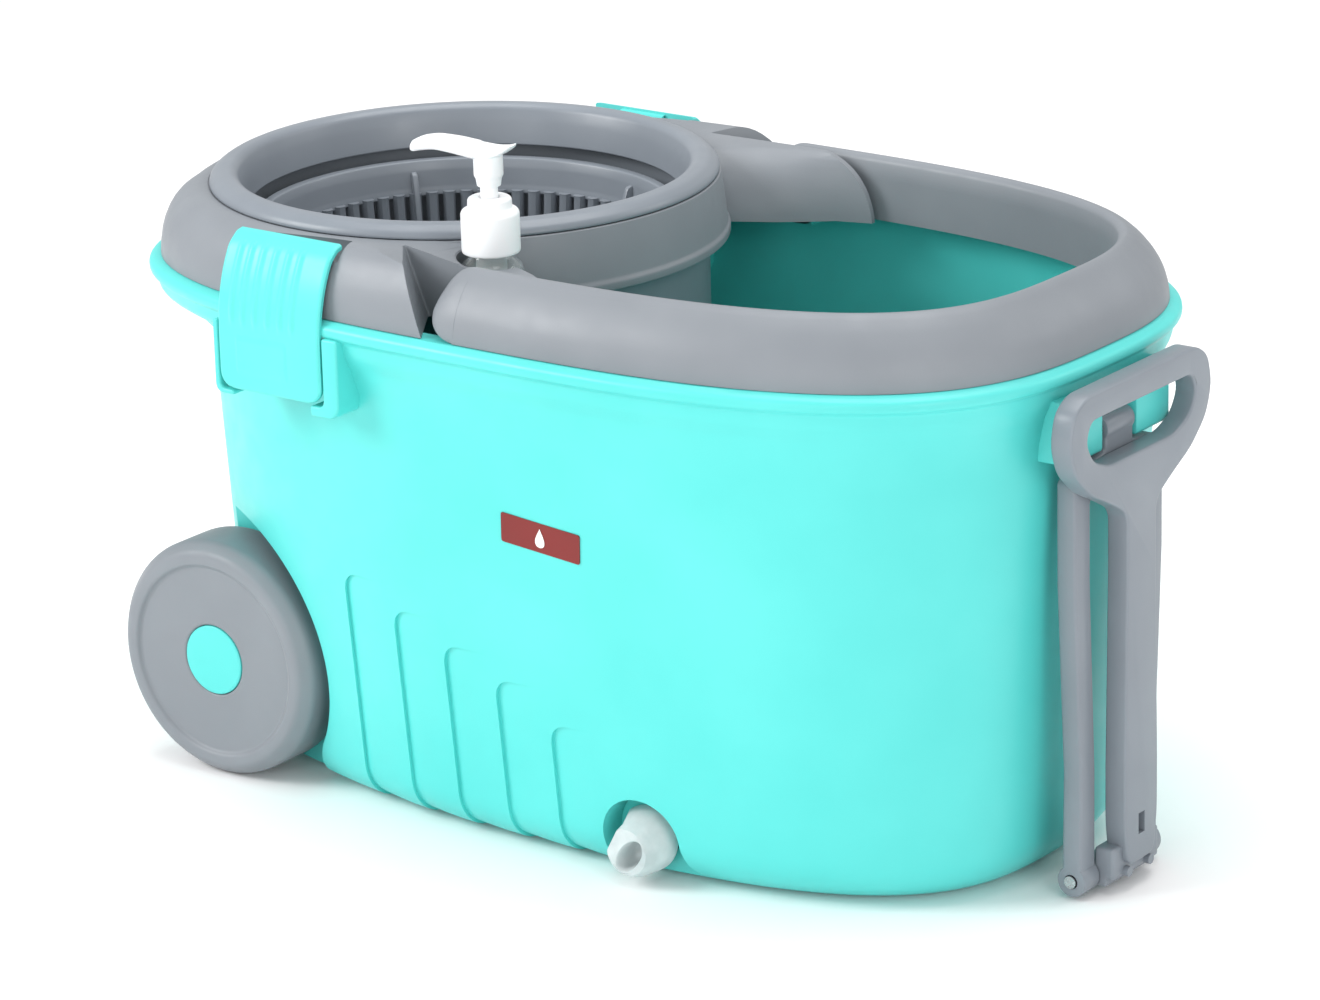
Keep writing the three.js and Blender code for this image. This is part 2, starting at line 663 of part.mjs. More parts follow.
// Trough in the dome where the top of a latch turns, with the two ears of its pin.
function latchSeat(side, dome) {
  const y = side * LATCH.pinY;
  const half = LATCH.width / 2 + 1.2;
  const backing = rod("x", 9, LATCH.x - half - 2, LATCH.x + half + 2, y, LATCH.pinZ, 20).intersect(dome);
  const trough = rod("x", 6.7, LATCH.x - half, LATCH.x + half, y, LATCH.pinZ, 20);
  const ears = [-17, 17].map((dx) =>
    join(
      rod("x", 2.6, LATCH.x + dx - 2, LATCH.x + dx + 2, y, LATCH.pinZ, 14),
      box(LATCH.x + dx - 2, LATCH.x + dx + 2, y - 2.4, y + 2.4, LATCH.pinZ - 8, LATCH.pinZ),
    ),
  );
  const bore = rod("x", 1.4 + GAP, LATCH.x - 20, LATCH.x + 20, y, LATCH.pinZ, 12);
  return { backing, trough, ears, bore };
}

function spinnerCover() {
  const dome = lofted(domeRings(0, RIM.z + GAP));
  const inside = lofted(domeRings(2.5, RIM.z - 4));
  const outer = cut(dome.intersect(slabXY(coverPlan(0), 230, 300)).intersect(bothFalls(0)), basinSlope(0));
  const inner = cut(inside.intersect(slabXY(coverPlan(2.5), 230, 300)).intersect(bothFalls(2.5)), basinSlope(2.5));
  const seats = [-1, 1].map((side) => latchSeat(side, dome));
  let cover = join(cut(outer, inner), ...seats.map((seat) => seat.backing));
  cover = cut(
    cover,
    rod("z", SEAM_R - 1, 240, 300, SPIN_X, 0, SPIN_STEPS),
    rod("z", SEAM_R, SEAM_Z - GAP, 300, SPIN_X, 0, SPIN_STEPS),
    ...seats.map((seat) => seat.trough),
  );
  for (const seat of seats) cover = cut(join(cover, ...seat.ears), seat.bore);
  cover = join(cover, skirt());
  const bosses = SCREW_ANGLES.map((angle) => rod("z", 2.9, 260, 270, ...onScrewRing(angle), 12));
  const pilots = SCREW_ANGLES.map((angle) => rod("z", 1.5, 255, 268, ...onScrewRing(angle), 10));
  cover = cut(join(cover, ...bosses), ...pilots);
  cover = cut(cover, rod("z", 16.6, 235, 300, BOTTLE.x, BOTTLE.y, 24));
  const cup = cut(bottleCup().intersect(join(bothFalls(0), box(-60, 60, -160, 0, 180, 240))), basinSlope(0));
  return join(cover, cup);
}

// ---------------------------------------------------------------- splash ring
const splashRing = () =>
  turned(
    [
      [SEAM_R - 0.3, SEAM_Z], [120, 284.6], [116, 287], [110.5, 287.6], [107.5, 285.4], [103, 268],
      [104.8, 267.8], [109, 283.6], [115.8, 284.6], [115.8, 276], [117.8, 276], [117.8, SEAM_Z],
    ],
    SPIN_STEPS, SPIN_X,
  );

// ---------------------------------------------------------------- drip drum
const DRUM_R = 115.8;
const DRUM_FLOOR = 158;

function dripDrum() {
  let drum = turned(
    [
      [0, DRUM_FLOOR], [98, DRUM_FLOOR], [104, DRUM_FLOOR + 5], [DRUM_R, 206], [DRUM_R, 272],
      [DRUM_R - 2.4, 272], [DRUM_R - 2.4, 206], [102, DRUM_FLOOR + 8], [97, DRUM_FLOOR + 2.5], [14, DRUM_FLOOR + 2.5],
      [13, DRUM_FLOOR + 12], [0, DRUM_FLOOR + 12],
    ],
    SPIN_STEPS, SPIN_X, 0, false,
  );
  const lugs = SCREW_ANGLES.map((angle) => {
    const lug = rod("z", 2.3, 256.5, 259.5, ...onScrewRing(angle), 12);
    return join(lug, spoke(box(DRUM_R - 1.5, SCREW_RING, -2.4, 2.4, 256.5, 259.5), angle));
  });
  drum = join(drum, ...lugs);
  const holes = SCREW_ANGLES.map((angle) => rod("z", 1.6, 254, 262, ...onScrewRing(angle), 10));
  for (let k = 0; k < 8; k++) {
    const angle = (k * Math.PI) / 4;
    holes.push(rod("z", 9, DRUM_FLOOR - 2, DRUM_FLOOR + 5, SPIN_X + 62 * Math.cos(angle), 62 * Math.sin(angle), 12));
  }
  holes.push(rod("z", 5.3, DRUM_FLOOR + 4, DRUM_FLOOR + 14, SPIN_X, 0, 16));
  return cut(drum, ...holes);
}

const drumScrew = (angle) =>
  join(rod("z", 2.5, 254.2, 256.2, ...onScrewRing(angle), 10), rod("z", 1.2, 255, 266, ...onScrewRing(angle), 8));

// ---------------------------------------------------------------- spin basket and its drive
const BASKET_FLOOR = 176;

function spinBasket() {
  const steps = FINS * (SLOTS_PER_BAY + 1);
  const basket = turned(
    [
      [80, 173.8], [87.7, 173.8], [96.5, 246], [99.5, 260], [101.5, 261.5], [101.5, 263], [97.4, 262.6],
      [94.2, 246], [86.7, BASKET_FLOOR + 0.1], [80, BASKET_FLOOR + 0.1],
    ],
    steps, SPIN_X,
  );
  const tools = [];
  const fins = [];
  for (let k = 0; k < steps; k++) {
    const angle = (2 * Math.PI * (k + 0.5)) / steps;
    if (k % (SLOTS_PER_BAY + 1) === 0) fins.push(spoke(box(82, 96, -1.3, 1.3, 190, 252), angle));
    else tools.push(spoke(box(85, 103, -2.6, 2.6, 190, 246), angle));
  }
  return join(cut(basket, ...tools), ...fins);
}

// Slotted plate that lies on the basket's lower flange.
function basketFloor() {
  const low = BASKET_FLOOR + 0.4;
  const drains = Array.from({ length: 10 }, (_, k) => spoke(box(40, 74, -4, 4, 170, 185), (k * Math.PI) / 5));
  return cut(turned([[9.5, low], [85.4, low], [85.4, low + 2], [9.5, low + 2]], 30, SPIN_X), ...drains);
}

// Turns a body about the vertical and moves it onto the spin axis.
function spoke(body, angle) {
  const geometry = geometryOf(body).rotateZ(angle).translate(SPIN_X, 0, 0);
  return solid(geometry);
}

// Six-sided socket that the mop head drives, standing on the basket floor.
const driveSocket = () =>
  turned([[9.3, 179], [16.5, 179], [16.5, 184], [12, 204], [9, 207], [6.2, 207], [6.2, 187], [9.3, 187]], 18, SPIN_X);

const spindle = () =>
  turned([[0, 162.5], [5, 162.5], [5, 209], [3.5, 211], [0, 211]], 16, SPIN_X, 0, false);

const lowerBearing = () => turned([[5.3, 170.4], [9, 170.4], [9, 182], [7.2, 182], [7.2, 186], [5.3, 186]], 16, SPIN_X);

// ---------------------------------------------------------------- latches
// Near latch. Its plate follows the dome, then hangs down outside the lip.
function latchBody() {
  const half = LATCH.width / 2;
  const side = outline([
    [-133, 285], [-139, 284.2], [-145.5, 279.5], [-151, 268], [-155, 254], [-156.3, 240], [-156.3, LATCH.bottom],
    [-153.4, LATCH.bottom], [-153.4, 240], [-152.2, 254], [-148.6, 267], [-143.6, 277.5], [-138.2, 281.6], [-133, 282.4],
  ]);
  const face = new THREE.Shape();
  const round = 8;
  const low = LATCH.bottom - 0.3;
  face.moveTo(LATCH.x - half, 290);
  face.lineTo(LATCH.x - half, low + round);
  face.quadraticCurveTo(LATCH.x - half, low, LATCH.x - half + round, low);
  face.lineTo(LATCH.x + half - round, low);
  face.quadraticCurveTo(LATCH.x + half, low, LATCH.x + half, low + round);
  face.lineTo(LATCH.x + half, 290);
  let latch = slabYZ(side, LATCH.x - half, LATCH.x + half).intersect(slabXZ(face, -170, -120, 4));
  latch = join(
    latch,
    rod("x", 2.9, LATCH.x - 13, LATCH.x + 13, -LATCH.pinY, LATCH.pinZ, 14),
    box(LATCH.x - 13, LATCH.x + 13, -138.4, -133.6, LATCH.pinZ, 283),
    box(LATCH.x - 12, LATCH.x + 12, -153.6, -152.4, 232, 236),
  );
  return cut(latch, rod("x", 1.4 + GAP, LATCH.x - 15, LATCH.x + 15, -LATCH.pinY, LATCH.pinZ, 12));
}

const latchPin = () => rod("x", 1.4, LATCH.x - 18.8, LATCH.x + 18.8, -LATCH.pinY, LATCH.pinZ, 12);

// ---------------------------------------------------------------- soap bottle and pump
const onBottle = (profile, steps, closed = true) => turned(profile, steps, BOTTLE.x, BOTTLE.y, closed);

const soapBottle = () =>
  onBottle(
    [
      [0, BOTTLE.bottom], [14, BOTTLE.bottom], [BOTTLE.r, BOTTLE.bottom + 2], [BOTTLE.r, BOTTLE.shoulder],
      [13.6, 275], [9.5, 279.5], [9.5, 288], [8.2, 288], [8.2, 278.6], [12.6, 274], [14.2, 269.5],
      [14.2, BOTTLE.bottom + 1.2], [0, BOTTLE.bottom + 1.2],
    ],
    20, false,
  );

const pumpCollar = () =>
  onBottle(
    [
      [9.9, COLLAR.z], [COLLAR.r, COLLAR.z], [COLLAR.r, COLLAR.top - 1.5], [12.4, COLLAR.top],
      [COLLAR.step, COLLAR.top], [COLLAR.step, 305], [9, COLLAR.guide], [4.6, COLLAR.guide], [4.6, 291], [9.9, 291],
    ],
    20,
  );

const pumpChamber = () =>
  onBottle(
    [
      [2.9, 222], [4.2, 222], [4.4, 234], [7, 238], [7, 288.4], [9.3, 288.4], [9.3, 290.6], [5.6, 290.6], [5.6, 239],
      [1.6, 236], [1.6, 233], [2.9, 233],
    ],
    14,
  );

const dipTube = () => onBottle([[1.5, 193], [2.5, 193], [2.5, 232.6], [1.5, 232.6]], 10);

const SPRING = { r: 3.9, wire: 0.7, low: 241.5, high: 267.5, turns: 5 };

function pumpSpring() {
  class Helix extends THREE.Curve {
    getPoint(t) {
      const angle = 2 * Math.PI * SPRING.turns * t;
      const z = THREE.MathUtils.lerp(SPRING.low, SPRING.high, t);
      return new THREE.Vector3(SPRING.r * Math.cos(angle), SPRING.r * Math.sin(angle), z);
    }
  }
  const wire = new THREE.Shape().absarc(0, 0, SPRING.wire, 0, 2 * Math.PI);
  const geometry = new THREE.ExtrudeGeometry(wire, {
    steps: 8 * SPRING.turns, curveSegments: 2, extrudePath: new Helix(), bevelEnabled: false,
  });
  return solid(facingOut(geometry)).translate([BOTTLE.x, BOTTLE.y, 0]);
}

const pumpStem = () =>
  onBottle(
    [[1.6, 269], [5.3, 269], [5.3, 274], [4, 275.5], [4, 322], [1.6, 322]],
    14,
  );

// Pump head: skirt round the stem, and a flat spout that points to the spinner, with a thumb pad behind.
function pumpHead() {
  const skirtBody = onBottle(
    [[0, 322.4], [4.4, 322.4], [4.4, HEAD_Z - 1.5], [5.4, HEAD_Z - 1.5], [5.8, HEAD_Z + 2], [6.7, HEAD_Z + 3],
      [6.7, 327], [0, 328]],
    16, false,
  );
  const heading = THREE.MathUtils.degToRad(190);
  const along = new THREE.Vector3(Math.cos(heading), Math.sin(heading), 0);
  const across = new THREE.Vector3(-along.y, along.x, 0);
  // Stations along the spout: distance from the axis, middle height, half width, half height.
  const stations = [
    [-12.5, 329.6, 4.6, 1.2], [-10, 328.2, 6.2, 1.9], [-3, 326.8, 7.2, 3.2], [5, 327.2, 7, 3.8], [15, 328.6, 6, 3.8],
    [26, 329.4, 5, 3.6], [34, 327.8, 4, 3.4], [38, 325.8, 3, 3],
  ];
  const rings = stations.map(([d, z, w, h]) =>
    Array.from({ length: 10 }, (_, i) => {
      const a = (2 * Math.PI * i) / 10;
      const p = new THREE.Vector3(BOTTLE.x, BOTTLE.y, z + h * Math.sin(a));
      return p.addScaledVector(along, d).addScaledVector(across, w * Math.cos(a));
    }),
  );
  const spout = lofted(rings);
  const passage = rod("z", 4.4, HEAD_Z - 3, 322.4, BOTTLE.x, BOTTLE.y, 16);
  return cut(join(skirtBody, spout), passage);
}

// ---------------------------------------------------------------- assembly
const spinMop = new THREE.Group();
spinMop.position.x = -(RIM.left - LIP + PULL_X + GRIP_OUT) / 2;

function place(name, body, material, mirrored = false) {
  const mesh = new THREE.Mesh(geometryOf(body), material);
  mesh.name = name;
  if (mirrored) mesh.scale.y = -1;
  spinMop.add(mesh);
  return mesh;
}

place("bucket_tub", bucketTub(), AQUA);

const wheelParts = wheelPieces();
for (const [hand, mirrored] of [["near", false], ["far", true]]) {
  place("wheel_" + hand, wheelParts.wheel, GREY, mirrored);
  place("hub_cap_" + hand, wheelParts.hub_cap, AQUA, mirrored);
  place("wheel_stub_" + hand, wheelParts.wheel_stub, STEEL, mirrored);
  place("wheel_retainer_" + hand, wheelParts.wheel_retainer, STEEL, mirrored);
  place("latch_" + hand, latchBody(), AQUA, mirrored);
  place("latch_pin_" + hand, latchPin(), STEEL, mirrored);
  place("handle_pin_" + hand, handlePin(mirrored ? 1 : -1), STEEL);
}

const drain = drainPieces();
place("drain_plug", drain.plug, SILICONE);
place("drain_gasket", drain.gasket, RUBBER);
place("front_label", frontLabel(), RED);

place("carry_handle", carryHandle(), GREY);
place("pull_link", pullLink(), GREY);
place("pull_grip", pullGrip(), GREY);
place("link_pin", pullPin(PULL_TOP_Z, 36), STEEL);
place("elbow_pin", pullPin(PULL_LOW_Z, 34), STEEL);

place("spinner_cover", spinnerCover(), GREY);
place("splash_ring", splashRing(), GREY);
place("drip_drum", dripDrum(), GREY);
SCREW_ANGLES.forEach((angle, k) => place("drum_screw_" + (k + 1), drumScrew(angle), STEEL));
place("spindle", spindle(), STEEL);
place("lower_bearing", lowerBearing(), WHITE);
place("spin_basket", spinBasket(), GREY);
place("basket_floor", basketFloor(), GREY);
place("drive_socket", driveSocket(), WHITE);

place("soap_bottle", soapBottle(), CLEAR);
place("pump_collar", pumpCollar(), WHITE);
place("pump_chamber", pumpChamber(), WHITE);
place("dip_tube", dipTube(), WHITE);
place("pump_spring", pumpSpring(), STEEL);
place("pump_stem", pumpStem(), WHITE);
place("pump_head", pumpHead(), WHITE);

export default spinMop;
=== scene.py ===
# %% [markdown]
# # Wheeled spin-mop bucket
# A turquoise tub on two wheels, with a latched grey spinner cover, a wringing basket, a pump bottle of soap,
# a carry handle, a folding pull handle and a drain plug.
#
# Shapes are drawn in millimetres about the middle of the rim: +X towards the pull handle, -Y the near side,
# +Z up from the floor. A finished piece is turned into metres and moved to the model's own origin.

# %%
import math

import bmesh
import bpy
import numpy as np
from mathutils import Matrix, Vector


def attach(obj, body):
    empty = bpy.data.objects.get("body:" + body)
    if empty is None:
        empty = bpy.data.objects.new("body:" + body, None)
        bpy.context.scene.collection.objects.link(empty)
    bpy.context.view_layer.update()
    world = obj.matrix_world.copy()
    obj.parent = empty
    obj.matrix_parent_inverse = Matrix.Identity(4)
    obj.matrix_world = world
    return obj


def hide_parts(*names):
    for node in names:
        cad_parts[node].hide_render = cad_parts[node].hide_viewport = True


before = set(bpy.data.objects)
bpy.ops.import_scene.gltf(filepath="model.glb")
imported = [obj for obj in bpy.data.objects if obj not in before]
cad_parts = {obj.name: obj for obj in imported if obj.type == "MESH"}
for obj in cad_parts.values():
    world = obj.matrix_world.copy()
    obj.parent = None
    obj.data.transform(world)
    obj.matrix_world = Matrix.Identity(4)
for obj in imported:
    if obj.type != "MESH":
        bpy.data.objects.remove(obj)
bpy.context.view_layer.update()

# %% [markdown]
# ## Driving dimensions

# %%
MIDDLE = 7.4  # from the middle of the rim to the middle of the overall length
GAP = 0.3
AROUND = 176  # columns round the tub, the cover and the handle

RIM = dict(left=-244.5, right=244.5, half=149, square_left=3.1, square_right=2.9)
RIM_Z = 250
LIP = 5
WALL_TOP = dict(left=-236, right=240.5, half=145, square_left=2.3, square_right=2.9)
WALL_TOP_Z = 231
WALL_FLOOR = dict(left=-230, right=224, half=121, square_left=2.3, square_right=2.9)
WALL_T = 3
FLOOR_T = 4
FLOOR_FILLET = 22

SPIN_X = -112.5
SEAM_R = 122
SEAM_Z = 281
DOME_TOP = 283
HANDLE_X = -4
HANDLE_W = 25.4
HANDLE_TOP = 281.3
HANDLE_Z = (RIM_Z + GAP + HANDLE_TOP) / 2

WHEEL_X, WHEEL_R, WHEEL_FACE, WHEEL_BACK = -179.7, 58.5, 123.2, 89
WHEEL_RECESS, HUB_R, STUB_R = 47.2, 17.1, 5
WELL_R, WELL_Y = 66.5, 85

PULL_X, PULL_TOP_Z, PULL_LOW_Z = 247.5, 216, 8.5
BOTTLE_X, BOTTLE_Y = -16.7, -102
LATCH_X, LATCH_W, LATCH_LOW, LATCH_PIN_Y, LATCH_PIN_Z = -106.4, 60, 211.3, 134.5, 279.2
DRAIN_X, DRAIN_Z, DRAIN_R, DRAIN_BACK = 73, 20, 20.5, 108

SLOTS = 70
FINS = 5
BASKET_FLOOR = 176


# %% [markdown]
# ## Camera, floor and light

# %%
def linear(hex_colour):
    """Linear RGBA from an sRGB colour such as "#7af6f0"."""
    channels = [int(hex_colour[i : i + 2], 16) / 255 for i in (1, 3, 5)]
    return [c / 12.92 if c <= 0.04045 else ((c + 0.055) / 1.055) ** 2.4 for c in channels] + [1.0]


AZIMUTH, ELEVATION, ROLL = math.radians(36.8), math.radians(18.2), math.radians(-1.5)
back = Vector(
    (
        math.sin(AZIMUTH) * math.cos(ELEVATION),
        -math.cos(AZIMUTH) * math.cos(ELEVATION),
        math.sin(ELEVATION),
    )
)
right = Vector((math.cos(AZIMUTH), math.sin(AZIMUTH), 0))
up = back.cross(right)
rolled_right = right * math.cos(ROLL) + up * math.sin(ROLL)
rolled_up = up * math.cos(ROLL) - right * math.sin(ROLL)

camera_data = bpy.data.cameras.new("camera")
camera_data.lens = 147.1
camera_data.sensor_width = 36
camera_data.clip_end = 50
camera = bpy.data.objects.new("camera", camera_data)
target = Vector((-0.0017 - MIDDLE / 1000, 0, 0.1362))
turn = Matrix((rolled_right, rolled_up, back)).transposed().to_4x4()
camera.matrix_world = Matrix.Translation(target + back * 2.5469) @ turn
bpy.context.scene.collection.objects.link(camera)
bpy.context.scene.camera = camera
bpy.context.scene.view_settings.view_transform = "Standard"


def area_light(name, place, look_at, size, power, colour=(1, 1, 1)):
    data = bpy.data.lights.new(name, "AREA")
    data.shape = "RECTANGLE"
    data.size, data.size_y = size
    data.energy = power
    data.color = colour
    light = bpy.data.objects.new(name, data)
    light.location = place
    light.rotation_euler = (Vector(look_at) - Vector(place)).to_track_quat("-Z", "Y").to_euler()
    bpy.context.scene.collection.objects.link(light)
    return light


area_light("key", (-1.7, -1.7, 1.6), (0, 0, 0.12), (1.2, 1.2), 48)
area_light("front_fill", (0.6, -2.6, 0.8), (0, 0, 0.12), (1.8, 1.2), 12)
area_light("side_fill", (2.6, -1.3, 0.9), (0, 0, 0.15), (1.4, 1.4), 20)
area_light("top", (0.0, 0.3, 2.3), (0, 0, 0.2), (1.8, 1.8), 32)
area_light("rim", (1.6, 1.6, 1.5), (0, 0, 0.2), (1.0, 1.0), 8)

world = bpy.data.worlds.new("studio")
bpy.context.scene.world = world
world.use_nodes = True
world.node_tree.nodes["Background"].inputs["Color"].default_value = (1, 1, 1, 1)
world.node_tree.nodes["Background"].inputs["Strength"].default_value = 0.62


# %% [markdown]
# ## Materials
# Each finish has fine surface grain in its bump, a slow change of roughness and a slight change of tone.

# %%
def shader(name):
    material = bpy.data.materials.new(name)
    material.use_nodes = True
    nodes = material.node_tree.nodes
    return material, nodes, material.node_tree.links, nodes["Principled BSDF"]


def noise(nodes, links, scale, detail=3, roughness=0.5):
    """Noise over Object coordinates."""
    place = nodes.new("ShaderNodeTexCoord")
    texture = nodes.new("ShaderNodeTexNoise")
    texture.inputs["Scale"].default_value = scale
    texture.inputs["Detail"].default_value = detail
    texture.inputs["Roughness"].default_value = roughness
    links.new(place.outputs["Object"], texture.inputs["Vector"])
    return texture.outputs["Fac"]


def spread(nodes, links, value, low, high, start=0.3, end=0.7):
    ramp = nodes.new("ShaderNodeMapRange")
    for socket, amount in zip(("From Min", "From Max", "To Min", "To Max"), (start, end, low, high)):
        ramp.inputs[socket].default_value = amount
    links.new(value, ramp.inputs["Value"])
    return ramp.outputs["Result"]


def tone(nodes, links, value, dark, light):
    mix = nodes.new("ShaderNodeMix")
    mix.data_type = "RGBA"
    mix.inputs[6].default_value = linear(dark)
    mix.inputs[7].default_value = linear(light)
    links.new(spread(nodes, links, value, 0, 1), mix.inputs[0])
    return mix.outputs[2]


def grain(nodes, links, bsdf, height, strength, distance=0.0002):
    bump = nodes.new("ShaderNodeBump")
    bump.inputs["Strength"].default_value = strength
    bump.inputs["Distance"].default_value = distance
    links.new(height, bump.inputs["Height"])
    links.new(bump.outputs["Normal"], bsdf.inputs["Normal"])


def moulded(name, dark, light, gloss, grain_scale=1800, grain_strength=0.12, soft=0.0):
    """Injection-moulded plastic. gloss is its lowest and highest roughness."""
    material, nodes, links, bsdf = shader(name)
    links.new(tone(nodes, links, noise(nodes, links, 14), dark, light), bsdf.inputs["Base Color"])
    links.new(spread(nodes, links, noise(nodes, links, 60, 5), *gloss), bsdf.inputs["Roughness"])
    grain(nodes, links, bsdf, noise(nodes, links, grain_scale, 2), grain_strength)
    bsdf.inputs["IOR"].default_value = 1.49
    bsdf.inputs["Subsurface Weight"].default_value = soft
    bsdf.inputs["Subsurface Radius"].default_value = (0.004, 0.006, 0.006)
    return material


turquoise = moulded("turquoise polypropylene", "#50cbc6", "#58d1cc", (0.34, 0.46), soft=0.03)
grey = moulded("grey polypropylene", "#7b8086", "#83888e", (0.38, 0.52), grain_strength=0.2)
grey_fine = moulded("grey glossy polypropylene", "#798088", "#818890", (0.28, 0.4), grain_strength=0.08)
white = moulded("white polyethylene", "#eceef0", "#f6f7f8", (0.3, 0.42), soft=0.15)


def drawn_steel():
    material, nodes, links, bsdf = shader("bright drawn steel")
    bsdf.inputs["Metallic"].default_value = 1
    links.new(tone(nodes, links, noise(nodes, links, 300), "#a9acae", "#c9cbcd"), bsdf.inputs["Base Color"])
    links.new(spread(nodes, links, noise(nodes, links, 900, 4), 0.2, 0.38), bsdf.inputs["Roughness"])
    grain(nodes, links, bsdf, noise(nodes, links, 2500, 2), 0.1)
    return material


def clear_pet():
    material, nodes, links, bsdf = shader("clear PET")
    bsdf.inputs["Base Color"].default_value = linear("#f4fafa")
    bsdf.inputs["Transmission Weight"].default_value = 0.95
    bsdf.inputs["IOR"].default_value = 1.45
    links.new(spread(nodes, links, noise(nodes, links, 120), 0.02, 0.07), bsdf.inputs["Roughness"])
    grain(nodes, links, bsdf, noise(nodes, links, 220, 2), 0.05)
    return material


def milky_silicone():
    material, nodes, links, bsdf = shader("milky silicone")
    links.new(tone(nodes, links, noise(nodes, links, 90), "#c3cccd", "#dbe1e2"), bsdf.inputs["Base Color"])
    links.new(spread(nodes, links, noise(nodes, links, 200), 0.35, 0.55), bsdf.inputs["Roughness"])
    bsdf.inputs["Subsurface Weight"].default_value = 0.4
    bsdf.inputs["Subsurface Radius"].default_value = (0.006, 0.007, 0.007)
    bsdf.inputs["Transmission Weight"].default_value = 0.12
    grain(nodes, links, bsdf, noise(nodes, links, 500), 0.25)
    return material


def soft_rubber():
    material, nodes, links, bsdf = shader("black nitrile rubber")
    links.new(tone(nodes, links, noise(nodes, links, 80), "#1e2022", "#2b2e30"), bsdf.inputs["Base Color"])
    links.new(spread(nodes, links, noise(nodes, links, 200), 0.6, 0.8), bsdf.inputs["Roughness"])
    grain(nodes, links, bsdf, noise(nodes, links, 1500), 0.3)
    return material


steel = drawn_steel()
pet = clear_pet()
silicone = milky_silicone()
rubber = soft_rubber()
label_red = moulded("red printed film", "#730a04", "#7b0c05", (0.3, 0.4), 2600, 0.06)
label_white = moulded("white printed film", "#f1f1ef", "#f6f6f4", (0.3, 0.4), 2600, 0.06)
floor_paint = moulded("pale floor", "#fafafa", "#fcfcfc", (0.7, 0.8), 60, 0.02)

floor_mesh = bpy.data.meshes.new("floor")
floor_mesh.from_pydata([(-9, -9, 0), (9, -9, 0), (9, 9, 0), (-9, 9, 0)], [], [(0, 1, 2, 3)])
floor_mesh.materials.append(floor_paint)
floor = bpy.data.objects.new("floor", floor_mesh)
floor.location.z = -0.0005
bpy.context.scene.collection.objects.link(floor)


# %% [markdown]
# ## Mesh tools

# %%
def rounded(points, radius, steps=4, closed=True):
    """A polyline with its corners rounded off. It works in two or more dimensions."""
    corners = [np.array(p, float) for p in points]
    out = []
    for i, p in enumerate(corners):
        before = corners[i - 1] - p
        after = corners[(i + 1) % len(corners)] - p
        reach = [np.linalg.norm(before), np.linalg.norm(after)]
        at_end = not closed and i in (0, len(corners) - 1)
        if at_end or min(reach) < 1e-9 or np.dot(before, after) < -0.9995 * reach[0] * reach[1]:
            out.append(p)
            continue
        cut = min(radius, 0.45 * reach[0], 0.45 * reach[1])
        start, end = p + before / reach[0] * cut, p + after / reach[1] * cut
        for t in np.linspace(0, 1, steps + 1):
            out.append((1 - t) ** 2 * start + 2 * t * (1 - t) * p + t * t * end)
    return out


def solid(name, points, faces):
    mesh = bpy.data.meshes.new(name)
    mesh.from_pydata([tuple(map(float, p)) for p in points], [], faces)
    work = bmesh.new()
    work.from_mesh(mesh)
    bmesh.ops.remove_doubles(work, verts=work.verts, dist=1e-3)
    bmesh.ops.dissolve_degenerate(work, edges=work.edges, dist=1e-4)
    bmesh.ops.recalc_face_normals(work, faces=work.faces)
    work.to_mesh(mesh)
    work.free()
    obj = bpy.data.objects.new(name, mesh)
    bpy.context.scene.collection.objects.link(obj)
    return obj


def loft(name, rings):
    """A solid through closed rings of as many points each, with flat ends."""
    count = len(rings[0])
    points = [p for ring in rings for p in ring]
    faces = []
    for k in range(len(rings) - 1):
        for i in range(count):
            j = (i + 1) % count
            faces.append((k * count + i, k * count + j, (k + 1) * count + j, (k + 1) * count + i))
    last = (len(rings) - 1) * count
    faces.append(tuple(range(count)))
    faces.append(tuple(range(last, last + count)))
    return solid(name, points, faces)


def turned(name, profile, centre=(0, 0), axis="z", steps=96, closed=True):
    """A profile of (radius, height) turned about a line along axis through centre."""
    count = len(profile)
    points = []
    for k in range(steps):
        c, s = math.cos(2 * math.pi * k / steps), math.sin(2 * math.pi * k / steps)
        for r, h in profile:
            u, v = centre[0] + r * c, centre[1] + r * s
            points.append({"z": (u, v, h), "y": (u, h, v), "x": (h, u, v)}[axis])
    faces = []
    for k in range(steps):
        n = (k + 1) % steps
        for i in range(count if closed else count - 1):
            j = (i + 1) % count
            faces.append((k * count + i, k * count + j, n * count + j, n * count + i))
    return solid(name, points, faces)


def slab(name, outline, low, high, plane):
    """An outline in the plane "xz", "xy" or "yz", given thickness from low to high."""
    build = {
        "xz": lambda u, v, w: (u, w, v),
        "xy": lambda u, v, w: (u, v, w),
        "yz": lambda u, v, w: (w, u, v),
    }
    return loft(name, [[build[plane](*p, w) for p in outline] for w in (low, high)])


def rod(name, radius, low, high, centre, axis, steps=64):
    return turned(name, [(0, low), (radius, low), (radius, high), (0, high)], centre, axis, steps, False)


def brick(name, x0, x1, y0, y1, z0, z1):
    return slab(name, [(x0, y0), (x1, y0), (x1, y1), (x0, y1)], z0, z1, "xy")


def bake(obj):
    """Makes the object's modifiers part of its mesh."""
    graph = bpy.context.evaluated_depsgraph_get()
    mesh = bpy.data.meshes.new_from_object(obj.evaluated_get(graph))
    obj.modifiers.clear()
    obj.data = mesh
    return obj


def boolean(obj, operation, *tools):
    for tool in tools:
        modifier = obj.modifiers.new("boolean", "BOOLEAN")
        modifier.operation = operation
        modifier.object = tool
        modifier.solver = "MANIFOLD"
        bake(obj)
        bpy.data.objects.remove(tool)
    return obj


def cut(obj, *tools):
    return boolean(obj, "DIFFERENCE", *tools)


def fuse(obj, *tools):
    return boolean(obj, "UNION", *tools)


